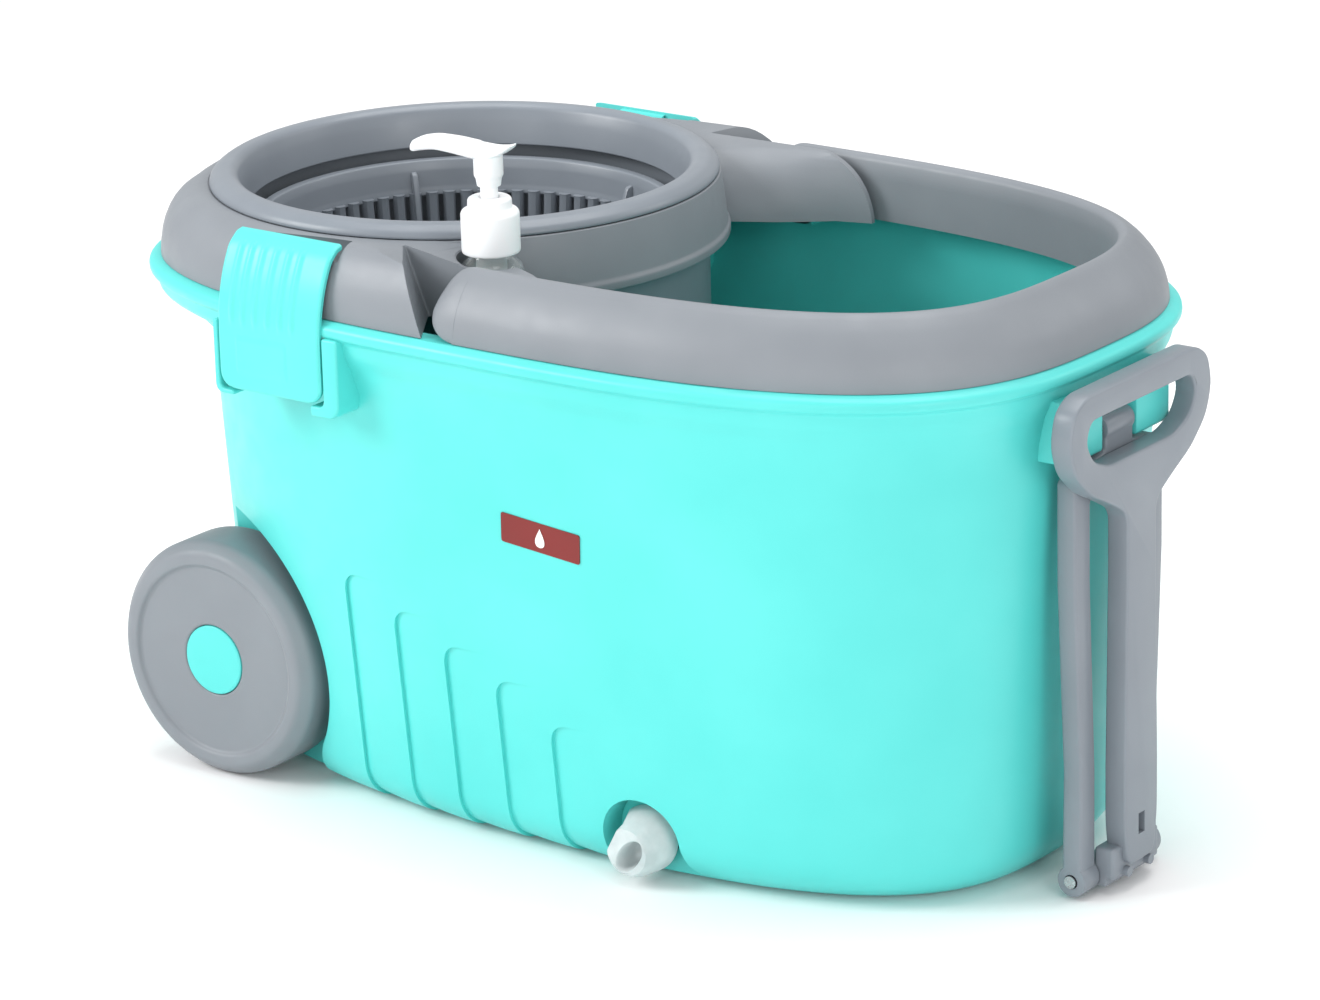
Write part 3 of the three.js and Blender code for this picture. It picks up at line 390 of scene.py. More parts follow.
def common(obj, *tools):
    return boolean(obj, "INTERSECT", *tools)


def bevelled(obj, width, segments=3, angle=40):
    modifier = obj.modifiers.new("bevel", "BEVEL")
    modifier.width = width
    modifier.segments = segments
    modifier.limit_method = "ANGLE"
    modifier.angle_limit = math.radians(angle)
    modifier.use_clamp_overlap = True
    return bake(obj)


def copy_of(obj, name):
    twin = obj.copy()
    twin.data = obj.data.copy()
    twin.name = name
    bpy.context.scene.collection.objects.link(twin)
    return twin


def far_twin(obj, name):
    """The same piece on the far side."""
    twin = copy_of(obj, name)
    twin.data.transform(Matrix.Scale(-1, 4, (0, 1, 0)))
    twin.data.flip_normals()
    return twin


def merged(name, *objects):
    """One object of several overlapping pieces of the same material."""
    work = bmesh.new()
    for obj in objects:
        work.from_mesh(obj.data)
        bpy.data.objects.remove(obj)
    mesh = bpy.data.meshes.new(name)
    work.to_mesh(mesh)
    work.free()
    obj = bpy.data.objects.new(name, mesh)
    bpy.context.scene.collection.objects.link(obj)
    return obj


def piece(obj, body, material, replaces=(), sharp=32):
    """Finishes a piece: metres, smooth shading with sharp edges, its material and the body it rides on."""
    obj.data.transform(Matrix.Scale(0.001, 4) @ Matrix.Translation((-MIDDLE, 0, 0)))
    obj.data.shade_smooth()
    obj.data.set_sharp_from_angle(angle=math.radians(sharp))
    obj.data.materials.clear()
    obj.data.materials.append(material)
    if replaces:
        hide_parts(*replaces)
    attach(obj, body)
    return obj


# %% [markdown]
# ## Oval outlines

# %%
def mixed(a, b, t):
    return {key: a[key] + (b[key] - a[key]) * t for key in a}


def grown(oval, by):
    return {**oval, "left": oval["left"] - by, "right": oval["right"] + by, "half": oval["half"] + by}


def oval_point(angle, oval):
    c, s = math.cos(angle), math.sin(angle)
    power = oval["square_left"] if c < 0 else oval["square_right"]
    rho = (abs(c) ** power + abs(s) ** power) ** (1 / power)
    middle, reach = (oval["left"] + oval["right"]) / 2, (oval["right"] - oval["left"]) / 2
    return middle + reach * c / rho, oval["half"] * s / rho


def oval_ring(oval, z, steps=AROUND):
    return [(*oval_point(2 * math.pi * i / steps, oval), z) for i in range(steps)]


def wall_at(z):
    return mixed(WALL_FLOOR, WALL_TOP, z / WALL_TOP_Z)


def wall_y(x, z, by=0.0):
    """Distance of the near wall from the middle plane at x and z."""
    oval = grown(wall_at(z), by)
    middle, reach = (oval["left"] + oval["right"]) / 2, (oval["right"] - oval["left"]) / 2
    power = oval["square_left"] if x < middle else oval["square_right"]
    return oval["half"] * max(0.0, 1 - abs((x - middle) / reach) ** power) ** (1 / power)


def side_levels(levels):
    """Rings for levels of (share of the rim's shape, growth, z)."""
    return [oval_ring(grown(mixed(wall_at(z), RIM, t), by), z) for t, by, z in levels]


def footed(by, floor, fillet, top, step=14):
    """Levels from the flat bottom, round its edge and up the wall to top."""
    levels = []
    for degrees in range(0, 91, 10):
        t = math.radians(degrees)
        levels.append((0, by - fillet * (1 - math.sin(t)), floor + fillet * (1 - math.cos(t))))
    for z in np.arange(floor + fillet + step, top - 2, step):
        levels.append((0, by, z))
    return levels + [(0, by, top)]


# %% [markdown]
# ## Bucket tub

# %%
def tub_shell():
    lip = [(0, 0, 215), (0.45, 0, 228), (1, 1, 235), (1, 2, 241.5), (1, LIP, 243.3), (1, LIP, 247.6),
           (1, 1, RIM_Z)]
    outer = loft("tub_shell", side_levels(footed(0, 0, FLOOR_FILLET, 205) + rounded(lip, 2.2, 4, False)))
    mouth = [(0, -WALL_T, 226), (0.6, -7, 238), (1, -9, 244), (1, -9, RIM_Z + 2)]
    levels = footed(-WALL_T, FLOOR_T, FLOOR_FILLET - WALL_T, 216) + rounded(mouth, 5, 4, False)
    hollow = loft("hollow", side_levels(levels))
    tools = []
    for side in (-1, 1):
        def span(a, b):
            return (-b, -a) if side < 0 else (a, b)
        bulge = rounded([(0, WELL_Y - WALL_T), (WELL_R + WALL_T, WELL_Y - WALL_T), (WELL_R + WALL_T, 160)],
                        5, 4, False)
        bulge = [(r, side * y) for r, y in bulge + [(0, 160)]]
        hollow = cut(
            hollow,
            turned("bulge", bulge, (WHEEL_X, WHEEL_R), "y", 96, False),
            rod("boss", STUB_R + 4, *span(68, 90), (WHEEL_X, WHEEL_R), "y", 32),
        )
        tools.append(rod("well", WELL_R, *span(WELL_Y, 160), (WHEEL_X, WHEEL_R), "y", 128))
        tools.append(slab("well_foot", [(-152, -2), (-133, -2), (-127, 14), (-119, 34), (-152, 34)],
                          *span(WELL_Y, 160), "xz"))
        tools.append(rod("stub_hole", STUB_R + GAP, *span(72, 90), (WHEEL_X, WHEEL_R), "y", 32))
    hollow = cut(hollow,
                 rod("drain_bulge", DRAIN_R + WALL_T, -160, -DRAIN_BACK + WALL_T, (DRAIN_X, DRAIN_Z), "y"))
    shell = cut(outer, hollow, *tools)
    arch = [(DRAIN_X - DRAIN_R, -2), (DRAIN_X - DRAIN_R, DRAIN_Z)]
    for degrees in range(170, -1, -10):
        t = math.radians(degrees)
        arch.append((DRAIN_X + DRAIN_R * math.cos(t), DRAIN_Z + DRAIN_R * math.sin(t)))
    arch += [(DRAIN_X + DRAIN_R + 2, 11), (DRAIN_X + DRAIN_R + 8, -2)]
    recess = slab("recess", arch, -160, -DRAIN_BACK, "xz")
    return cut(shell, recess, rod("spigot", 8, -DRAIN_BACK - 1, -DRAIN_BACK + 9, (DRAIN_X, DRAIN_Z), "y", 40))


def pocket(name, x0, top, length):
    """Tool for a shallow pocket: a step down at its left and upper edges, fading out to the right."""
    deep, corner = 1.7, 9
    columns = list(np.linspace(0, 9, 13)) + list(np.linspace(10.5, length, 14))
    rows = [("under", 0)] + [("foot", math.radians(a)) for a in range(0, 90, 7)]
    rows += [("wall", share) for share in np.linspace(0, 1, 40)]
    inner, outer = [], []
    for kind, value in rows:
        for dx in columns:
            x = x0 + dx
            notch = corner - math.sqrt(max(0, corner**2 - (corner - min(dx, corner)) ** 2))
            depth = deep * (1 - dx / length) ** 1.6
            for lift, out in ((-depth, inner), (3, outer)):
                if kind == "under":
                    y = wall_y(x, 0, -FLOOR_FILLET) - 3
                    out.append((x, -y, -1 if out is inner else -5))
                elif kind == "foot":
                    reach = FLOOR_FILLET + lift
                    z = FLOOR_FILLET - reach * math.cos(value)
                    out.append((x, -wall_y(x, z, -FLOOR_FILLET + reach * math.sin(value)), z))
                else:
                    z = FLOOR_FILLET + (top - notch - FLOOR_FILLET) * value
                    out.append((x, -wall_y(x, z, lift), z))
    wide, tall = len(columns), len(rows)
    return closed_grid(name, outer, inner, wide, tall)


def closed_grid(name, front, rear, wide, tall):
    """A solid between two grids of points."""
    faces = []
    for k in range(tall - 1):
        for i in range(wide - 1):
            a = k * wide + i
            faces.append((a, a + 1, a + wide + 1, a + wide))
            b = a + wide * tall
            faces.append((b, b + wide, b + wide + 1, b + 1))
    ring = list(range(wide)) + [k * wide + wide - 1 for k in range(1, tall)]
    ring += [(tall - 1) * wide + i for i in range(wide - 2, -1, -1)]
    ring += [k * wide for k in range(tall - 2, 0, -1)]
    for a, b in zip(ring, ring[1:] + ring[:1]):
        faces.append((a, b, b + wide * tall, a + wide * tall))
    return solid(name, front + rear, faces)


def latch_cheek(name, hand, wide, drop):
    half, low = LATCH_W / 2 + 0.8, LATCH_LOW - 1
    inside = rounded([(half, 243), (half, low), (half - 8, low)], 8, 8, False)
    outside = rounded([(half - 8, low - drop), (half + wide, low - drop), (half + wide, 243)], 8 + drop, 10,
                      False)
    path = [(LATCH_X + hand * u, v) for u, v in list(inside) + list(outside)]
    return bevelled(slab(name, path, -154.6, -130, "xz"), 1.2, 3, 50)


def handle_ear(name):
    x0, x1 = HANDLE_X - 6.5, HANDLE_X + 9
    post = slab(
        name, rounded([(x0, 243.5), (x1, 243.5), (x1, 274), (x0, 274)], 5, 6), -122.2, -119.2, "xz"
    )
    return merged(name, post, brick("arm", x0, x1, -143, -119.2, 243.5, 248.5))


def pull_ear(name):
    outline = rounded([(228, 207), (PULL_X + 5, 207), (PULL_X + 5, 229), (PULL_X - 1, 236), (228, 236)], 2, 3)
    return bevelled(slab(name, outline, -42, -14, "xz"), 1.0, 2, 50)


tub = tub_shell()
for x, top, length in ((-92, 121, 30), (-60.5, 109.5, 29), (-31, 98, 28), (-1.7, 86.7, 28), (28, 70, 23)):
    near_pocket = pocket("pocket", x, top, length)
    tub = cut(tub, far_twin(near_pocket, "pocket_far"), near_pocket)
fittings = [latch_cheek("cheek", -1, 3, 2.5), latch_cheek("cheek", 1, 9, 5), handle_ear("ear"),
            pull_ear("pull_ear")]
near_details = merged("tub_details_near", *fittings)
far_details = far_twin(near_details, "tub_details_far")
piece(tub, "tub", turquoise, ["bucket_tub"], 30)
piece(near_details, "tub", turquoise, (), 40)
piece(far_details, "tub", turquoise, (), 40)

# %% [markdown]
# ## Wheels

# %%
near_profile = [
    (STUB_R + GAP, WHEEL_BACK - 2), (11, WHEEL_BACK - 2), (12, WHEEL_FACE - 12),
    (WHEEL_RECESS - 1, WHEEL_FACE - 8),
    (WHEEL_R - 5, WHEEL_BACK), (WHEEL_R, WHEEL_BACK + 2), (WHEEL_R, WHEEL_FACE - 6),
    (WHEEL_R - 5, WHEEL_FACE),
    (WHEEL_RECESS + 0.6, WHEEL_FACE), (WHEEL_RECESS - 1, WHEEL_FACE - 2), (HUB_R + 1.2, WHEEL_FACE - 1.4),
    (HUB_R + GAP, WHEEL_FACE - 2), (HUB_R + GAP, WHEEL_FACE - 9.5), (STUB_R + GAP, WHEEL_FACE - 9.5),
]  # fmt: skip
wheel_profile = [(r, -y) for r, y in rounded(near_profile, 2.6, 5)]
wheel = turned("wheel_fine_near", wheel_profile, (WHEEL_X, WHEEL_R), "y", 128)
cap_profile = [(0, 6), (HUB_R, 6), (HUB_R, 1.5), (HUB_R - 1, 1.1), (0, 0.9)]
cap_profile = [(r, d - WHEEL_FACE) for r, d in rounded(cap_profile, 0.7, 4, False)]
cap = turned("hub_cap_fine_near", cap_profile, (WHEEL_X, WHEEL_R), "y", 96, False)
far_wheel = far_twin(wheel, "wheel_fine_far")
far_cap = far_twin(cap, "hub_cap_fine_far")
piece(wheel, "near_wheel", grey, ["wheel_near"], 40)
piece(cap, "near_wheel", turquoise, ["hub_cap_near"], 40)
piece(far_wheel, "far_wheel", grey, ["wheel_far"], 40)
piece(far_cap, "far_wheel", turquoise, ["hub_cap_far"], 40)


# %% [markdown]
# ## Carry handle

# %%
def rim_angle(x):
    low, high = -math.pi, 0.0
    for _ in range(40):
        middle = (low + high) / 2
        low, high = (middle, high) if oval_point(middle, RIM)[0] < x else (low, middle)
    return (low + high) / 2


def handle_bar(name, section, start_x, steps):
    start = rim_angle(start_x)
    rings = []
    for i in range(steps + 1):
        angle = start - 2 * start * i / steps
        x, y = oval_point(angle, RIM)
        ahead, behind = oval_point(angle + 1e-3, RIM), oval_point(angle - 1e-3, RIM)
        along = Vector((ahead[0] - behind[0], ahead[1] - behind[1])).normalized()
        rings.append([(x - along.y * u, y + along.x * u, z) for u, z in section])
    return loft(name, rings)


# Slices across the round end: inset from the rim outline, top above the pivot, reach beyond it and bottom
# below it. Nothing lies beyond END_R, so the end turns freely.
END_R = 15.5
END_SLICES = [
    (0.5, -12, 3, 15.2), (1.2, -8, 8, 15.5), (2.2, -4.5, 11.2, 15.5), (3.6, -1.2, 13.4, 15.5),
    (6.5, 3.7, 15.2, 15.5),
    (9, 6.8, 15.5, 15.5), (11.5, 9.7, 15.5, 15.5), (16.5, 13.9, 15.5, 15.5), (20.5, 15.5, 15.5, 15.5),
    (23.6, 13.7, 15.5, 15.5), (25, 7.2, 14, 15.5), (25.4, -6, 9, 15.4),
]  # fmt: skip


def handle_end(name):
    rim = abs(oval_point(rim_angle(HANDLE_X), RIM)[1])
    rings = []
    for u, top, reach, bottom in rounded(END_SLICES, 2, 3, False):
        ring = []
        for k in range(49):
            angle = math.pi * k / 48
            behind, rise = reach * math.sin(angle), (top - bottom) / 2 + (top + bottom) / 2 * math.cos(angle)
            keep = min(1, END_R / math.hypot(behind, rise))
            ring.append((HANDLE_X - behind * keep, -(rim - u), HANDLE_Z + rise * keep))
        ring.append((HANDLE_X + 0.6, -(rim - u), HANDLE_Z - bottom))
        ring.append((HANDLE_X + 0.6, -(rim - u), HANDLE_Z + top))
        rings.append(ring)
    return loft(name, rings)


outside = [(0.3, RIM_Z + GAP), (0.8, 256), (2.8, 263), (6.5, 269.5), (11.5, 275.5), (16.5, 279.7),
           (20.5, HANDLE_TOP)]
outside += [(23.6, 279.5), (25, 273), (HANDLE_W, RIM_Z + GAP)]
inside = [(3, RIM_Z - 1), (4.5, 258), (8, 266), (13, 272.6), (18.5, 277), (21.5, 276), (22.5, 270),
          (22.6, RIM_Z - 1)]
outside = [outside[0]] + rounded(outside, 4, 4, False)[1:]
handle = cut(
    handle_bar("carry_handle_fine", outside, HANDLE_X, 130),
    handle_bar("channel", rounded(inside, 3, 3, False), HANDLE_X + 17, 110),
)
end_near = handle_end("end_near")
handle = fuse(handle, far_twin(end_near, "end_far"), end_near)
for low, high in ((-135, -118), (118, 135)):
    handle = cut(handle, rod("bore", 4.4, low, high, (HANDLE_X, HANDLE_Z), "y", 32))
piece(handle, "handle", grey, ["carry_handle"], 35)


# %% [markdown]
# ## Spinner cover
# A dome rises from the rim to the round seam. Two wings run on beside the handle's ends and slope down to
# the basin.

# %%
def dome_rings(thick, floor):
    base = grown(RIM, -thick - 0.2)
    columns = []
    for i in range(AROUND):
        x, y = oval_point(2 * math.pi * i / AROUND, base)
        inward = Vector((SPIN_X - x, -y))
        room = inward.length - SEAM_R
        reach = min(20, room)
        top = SEAM_Z + (DOME_TOP - SEAM_Z) * min(1, (room - reach) / 10)
        columns.append((x, y, inward.normalized(), room, reach, top))
    low = RIM_Z + GAP
    rings = [[(x, y, floor) for x, y, *_ in columns]]
    for degrees in (0, 10, 20, 30, 40, 50, 60, 68, 76, 83, 90):
        s, c = math.sin(math.radians(degrees)), math.cos(math.radians(degrees))
        if degrees == 0 and floor == low:
            continue
        rings.append(
            [
                (x + way.x * reach * (1 - c), y + way.y * reach * (1 - c), low + (top - thick - low) * s)
                for x, y, way, room, reach, top in columns
            ]
        )
    rings.append(
        [
            (x + way.x * (room + 0.5), y + way.y * (room + 0.5), SEAM_Z - thick)
            for x, y, way, room, *_ in columns
        ]
    )
    return rings


def cover_plan(name, by):
    """The cover's outline from above. Its cut beside the handle's ends leans back as it rises."""
    rings = []
    for z, edge, heel in ((230, -13, -33), (300, -38, -62)):
        side = [(edge - by, 170), (edge - by, 150.5 + by), (heel - by * 1.5, 118.5 - by), (46, 118.5 - by)]
        side = [tuple(p) for p in rounded(side, 2.5, 4, False)]
        outline = [(-262, 170)] + side + [(x, -y) for x, y in reversed(side)] + [(-262, -170)]
        rings.append([(x, y, z) for x, y in outline])
    return loft(name, rings)


def cover_fall(name, crest, by, low, high):
    """Side view of a wing's top: along its crest, then falling away at its end."""
    outline = [(-262, 230), (-262, 300)] + [(x - by, z - by) for x, z in crest]
    x0, z0 = crest[-1]
    for t in np.linspace(0, 1, 17)[1:]:
        x = (1 - t) ** 3 * x0 + 3 * t * (1 - t) ** 2 * (x0 + 12) + 3 * t * t * (1 - t) * 39 + t**3 * 42
        z = (1 - t) ** 3 * z0 + 3 * t * (1 - t) ** 2 * z0 + 3 * t * t * (1 - t) * (z0 - 7) + t**3 * 252
        outline.append((x - by, z - by))
    return slab(name, outline + [(42 - by, 230)], low, high, "xz")


FAR_CREST = [(-80, 300), (-80, DOME_TOP + 4), (8, DOME_TOP)]
NEAR_CREST = [(-66, 300), (-66, DOME_TOP + 1), (-54, 282), (-40, 280), (-30, 278.3), (-20, 277), (6, 275.5)]


def both_falls(by):
    far = cover_fall("far_fall", FAR_CREST, by, -1, 170)
    return fuse(cover_fall("near_fall", NEAR_CREST, by, -170, 0), far)


def basin_slope(name, by):
    """The space between the wings: each falls in a convex slope from its crest to the cover's lower edge."""
    stations = [
        (-75, 50, 92), (-60, 59.5, 98.5), (-45, 68, 104), (-31, 76.5, 109.5), (-17.5, 84.5, 114),
        (-8, 89.5, 116.2),
        (0.6, 94, 117.6), (12, 101.5, 118.0), (24.6, 111, 118.2), (48, 117.8, 118.6),
    ]  # fmt: skip
    shape = [(0, 0), (0.03, 0.14), (0.08, 0.28), (0.18, 0.47), (0.3, 0.62), (0.45, 0.765), (0.62, 0.88),
             (0.8, 0.955)]
    rings = []
    for x, low, crest in stations:
        line = [(low + (crest - low) * u + by, RIM_Z + 33 * v - by * v) for u, v in shape + [(1, 1)]]
        half = [(low + by, 240)] + line + [(crest + by, 305)]
        rings.append([(x, -y, z) for y, z in half] + [(x, y, z) for y, z in reversed(half)])
    return loft(name, rings)


def latch_seat(side):
    y, half = side * LATCH_PIN_Y, LATCH_W / 2 + 1.2
    backing = rod("backing", 9, LATCH_X - half - 2, LATCH_X + half + 2, (y, LATCH_PIN_Z), "x", 40)
    trough = rod("trough", 6.7, LATCH_X - half, LATCH_X + half, (y, LATCH_PIN_Z), "x", 40)
    return backing, trough


dome = loft("spinner_cover_fine", dome_rings(0, RIM_Z + GAP))
seats = [latch_seat(-1), latch_seat(1)]
backings = [common(seat[0], copy_of(dome, "dome_copy")) for seat in seats]
inner = common(loft("inner", dome_rings(2.5, RIM_Z - 4)), cover_plan("plan", 2.5), both_falls(2.5))
inner = cut(inner, basin_slope("slope", 2.5))
cover = cut(common(dome, cover_plan("plan", 0), both_falls(0)), basin_slope("slope", 0))
cover = fuse(cut(cover, inner), *backings)
cover = cut(
    cover,
    rod("mouth", SEAM_R - 1, 236, 300, (SPIN_X, 0), "z", 160),
    rod("step", SEAM_R, SEAM_Z - GAP, 300, (SPIN_X, 0), "z", 160),
    *[seat[1] for seat in seats],
)
skirt_profile = [(SEAM_R, SEAM_Z - 0.3), (124.8, 256), (126, 254.2), (126, 250.5), (122, 250.5), (121.9, 262)]
skirt_profile += [(119.5, 275), (119.3, SEAM_Z - 0.3)]
skirt = turned("skirt", rounded(skirt_profile, 0.8, 3), (SPIN_X, 0), "z", 160)
cup_profile = [(0, 187.7), (17.6, 187.7), (17.6, 279), (16.0, 279), (16.0, 190), (0, 190)]
cup = turned("bottle_cup", cup_profile, (BOTTLE_X, BOTTLE_Y), "z", 64, False)
cup = common(cup, fuse(both_falls(0.2), brick("below", -60, 60, -160, 0, 180, 240)))
cup = cut(cup, basin_slope("slope", 0.2))
cover = cut(fuse(cover, skirt), rod("bottle_hole", 16.6, 235, 300, (BOTTLE_X, BOTTLE_Y), "z", 64))
piece(cover, "cover", grey, ["spinner_cover"], 30)
piece(cup, "cover", grey, (), 40)

# %% [markdown]
# ## Splash ring, drum and basket

# %%
ring_profile = [
    (SEAM_R - 0.3, SEAM_Z), (120.6, 284.2), (116.5, 287), (111, 287.6), (107.8, 285.8), (105.8, 280),
    (103, 268),
    (104.8, 267.8), (107.4, 279), (109.2, 283.4), (115.8, 284.6), (115.8, 276), (117.8, 276), (117.8, SEAM_Z),
]  # fmt: skip
ring = turned("splash_ring_fine", rounded(ring_profile, 1.8, 4), (SPIN_X, 0), "z", 192)
piece(ring, "cover", grey_fine, ["splash_ring"], 35)

DRUM_FLOOR, DRUM_R = 158, 115.8
drum_profile = [
    (14, DRUM_FLOOR), (98, DRUM_FLOOR), (104, DRUM_FLOOR + 5), (DRUM_R, 206), (DRUM_R, 272),
    (DRUM_R - 2.4, 272),
    (DRUM_R - 2.4, 206), (102, DRUM_FLOOR + 8), (97, DRUM_FLOOR + 2.5), (14, DRUM_FLOOR + 2.5),
]  # fmt: skip
drum = turned("drip_drum_fine", rounded(drum_profile, 4, 4), (SPIN_X, 0), "z", 160)
drains = [
    rod("drain", 9, 150, 166, (SPIN_X + 62 * math.cos(k * math.pi / 4), 62 * math.sin(k * math.pi / 4)),
        "z", 32)
    for k in range(8)
]
drum = cut(drum, *drains)
hub_profile = [(5.3, DRUM_FLOOR), (15, DRUM_FLOOR), (15, 163), (13, 170), (5.3, 170)]
drum_hub = turned("drum_hub", rounded(hub_profile, 1, 3), (SPIN_X, 0), "z", 48)
piece(merged("drip_drum_fine", drum, drum_hub), "cover", grey_fine, ["drip_drum"], 35)


def repeated(obj, name, count, material):
    """Copies of a piece round the spin axis. The piece is drawn with the axis through the origin."""
    tree = bpy.data.node_groups.new(name + "_round", "GeometryNodeTree")
    face = tree.interface
    face.new_socket("Geometry", in_out="INPUT", socket_type="NodeSocketGeometry")
    face.new_socket("Count", in_out="INPUT", socket_type="NodeSocketInt").default_value = count
    face.new_socket("Material", in_out="INPUT", socket_type="NodeSocketMaterial").default_value = material
    face.new_socket("Geometry", in_out="OUTPUT", socket_type="NodeSocketGeometry")
    add, links = tree.nodes.new, tree.links
    start, end = add("NodeGroupInput"), add("NodeGroupOutput")
    points = add("GeometryNodePoints")
    index, step, angle = add("GeometryNodeInputIndex"), add("ShaderNodeMath"), add("ShaderNodeMath")
    turn, place = add("ShaderNodeCombineXYZ"), add("GeometryNodeInstanceOnPoints")
    real, paint = add("GeometryNodeRealizeInstances"), add("GeometryNodeSetMaterial")
    step.operation, angle.operation = "DIVIDE", "MULTIPLY"
    step.inputs[0].default_value = 2 * math.pi
    links.new(start.outputs["Count"], points.inputs["Count"])
    links.new(start.outputs["Count"], step.inputs[1])
    links.new(index.outputs[0], angle.inputs[0])
    links.new(step.outputs[0], angle.inputs[1])
    links.new(angle.outputs[0], turn.inputs["Z"])
    links.new(points.outputs[0], place.inputs["Points"])
    links.new(start.outputs["Geometry"], place.inputs["Instance"])
    links.new(turn.outputs[0], place.inputs["Rotation"])
    links.new(place.outputs[0], real.inputs[0])
    links.new(real.outputs[0], paint.inputs["Geometry"])
    links.new(start.outputs["Material"], paint.inputs["Material"])
    links.new(paint.outputs[0], end.inputs["Geometry"])
    modifier = obj.modifiers.new("round", "NODES")
    modifier.node_group = tree
    bake(obj)
    bpy.data.node_groups.remove(tree)
    obj.data.transform(Matrix.Translation((SPIN_X, 0, 0)))
    obj.name = name
    return obj


# The wall between floor and band: bars with slots between them, each bar rounded towards the inside.
def basket_bar():
    pitch = 2 * math.pi / SLOTS
    half = pitch / 2 - 1.3 / 96
    rings = []
    for z, outer in ((186, 89.6), (205, 91.8), (228, 94.5), (246, 96.6)):
        section = [(outer, -half), (outer, half), (outer - 2.4, half), (outer - 4.2, half * 0.62),
                   (outer - 4.6, 0)]
        section += [(outer - 4.2, -half * 0.62), (outer - 2.4, -half)]
        rings.append([(r * math.cos(a), r * math.sin(a), z) for r, a in section])
    rings.append([(x * 0.995, y * 0.995, 247.4) for x, y, _ in rings[-1]])
    return loft("bar", rings)


def basket_fin():
    outline = [(97, 184), (97, 258), (93.5, 257), (91, 250), (86.5, 226), (79, 190), (76, 181)]
    return bevelled(slab("fin", rounded(outline, 4, 4), -1.4, 1.4, "xz"), 0.6, 2, 50)


floor_profile = [
    (9.5, BASKET_FLOOR), (84, BASKET_FLOOR), (88, 176.5), (89.6, 181), (90.2, 190), (87.8, 190), (86.6, 183),
    (84, BASKET_FLOOR + 2.4), (9.5, BASKET_FLOOR + 2.4),
]  # fmt: skip
band_profile = [
    (96.9, 245.6), (98.2, 249.5), (99.6, 259.6), (101.5, 261.4), (101.5, 263), (97.6, 262.6), (96.4, 258),
    (95.4, 249.6),
    (94.4, 245.6),
]  # fmt: skip
basket_floor = turned("basket_floor", rounded(floor_profile, 1.5, 3), (SPIN_X, 0), "z", 140)
slits = []
for k in range(10):
    angle = k * math.pi / 5
    slit = slab("slit", rounded([(40, -4), (74, -4), (74, 4), (40, 4)], 3.9, 6), 170, 185, "xy")
    slit.data.transform(Matrix.Translation((SPIN_X, 0, 0)) @ Matrix.Rotation(angle, 4, "Z"))
    slits.append(slit)
basket_floor = cut(basket_floor, *slits)
band = turned("basket_band", rounded(band_profile, 0.8, 3), (SPIN_X, 0), "z", 140)
bars = repeated(basket_bar(), "basket_bars", SLOTS, grey_fine)
fins = repeated(basket_fin(), "basket_fins", FINS, grey_fine)
basket = merged("spin_basket_fine", basket_floor, band, bars, fins)
piece(basket, "basket", grey_fine, ["spin_basket", "basket_floor"], 35)

socket_profile = [(9.3, 179), (16.5, 179), (16.5, 184), (12, 204), (9, 207), (6.2, 207), (6.2, 187),
                  (9.3, 187)]
socket = turned("drive_socket_fine", rounded(socket_profile, 1, 3), (SPIN_X, 0), "z", 48)
piece(socket, "basket", white, ["drive_socket"], 35)


# %% [markdown]
# ## Latches
# A plate that follows the dome and hangs outside the lip, with six ridges and a raised panel.

# %%
def latch_plate(name):
    line = [(135.5, 282.9), (139, 282.3), (145, 277.6), (150.4, 266.5), (154.2, 253), (155.2, 240),
            (155.2, LATCH_LOW)]
    line = rounded(line, 6, 8, False)
    path = [line[0]]
    for p, q in zip(line, line[1:]):
        pieces = max(1, int(np.linalg.norm(q - p) / 1.1))
        path += [p + (q - p) * (i + 1) / pieces for i in range(pieces)]
    half, corner = LATCH_W / 2, 8
    across = list(np.linspace(-1, 1, 97))
    front, rear = [], []
    for k, (y, z) in enumerate(path):
        before, after = path[max(0, k - 1)], path[min(len(path) - 1, k + 1)]
        along = (after - before) / np.linalg.norm(after - before)
        out = np.array((-along[1], along[0]))
        out = out if out[0] > 0 or out[1] > 0 else -out
        above = z - LATCH_LOW
        reach = half
        if above < corner:
            reach -= corner - math.sqrt(max(0, corner**2 - (corner - above) ** 2))
        for u in across:
            x = u * reach
            edge = min(reach - abs(x), above + 0.001)
            lift = -0.9 * max(0, 1 - edge / 1.4) ** 2
            for ridge in (-21.5, -15, -8, -0.5, 7, 14):
                ends = min(1.0, max(0.0, (z - 241) / 5)) * min(1.0, max(0.0, (281 - z) / 4))
                rise = max(0.0, 1 - abs((x - ridge) / 2.4)) * ends
                lift += 0.95 * rise * rise * (3 - 2 * rise)
            panel = min(min(x + 19.5, 10.5 - x), min(z - 220, 237 - z))
            lift += 0.3 * min(1.0, max(0.0, panel / 0.7))
            front.append((LATCH_X + x, -(y + out[0] * lift), z + out[1] * lift))
            rear.append((LATCH_X + x * 0.99, -(y - out[0] * 2.8), z - out[1] * 2.8))
    return closed_grid(name, front, rear, len(across), len(path))


knuckle = rod("knuckle", 2.9, LATCH_X - 13, LATCH_X + 13, (-LATCH_PIN_Y, LATCH_PIN_Z), "x", 32)
knuckle = cut(knuckle,
              rod("knuckle_bore", 1.7, LATCH_X - 15, LATCH_X + 15, (-LATCH_PIN_Y, LATCH_PIN_Z), "x", 24))
web = brick("web", LATCH_X - 13, LATCH_X + 13, -138.4, -134.2, LATCH_PIN_Z + 1.2, 281.4)
latch = merged("latch_fine_near", latch_plate("plate"), knuckle, web)
far_latch = far_twin(latch, "latch_fine_far")
piece(latch, "near_latch", turquoise, ["latch_near"], 50)
piece(far_latch, "far_latch", turquoise, ["latch_far"], 50)


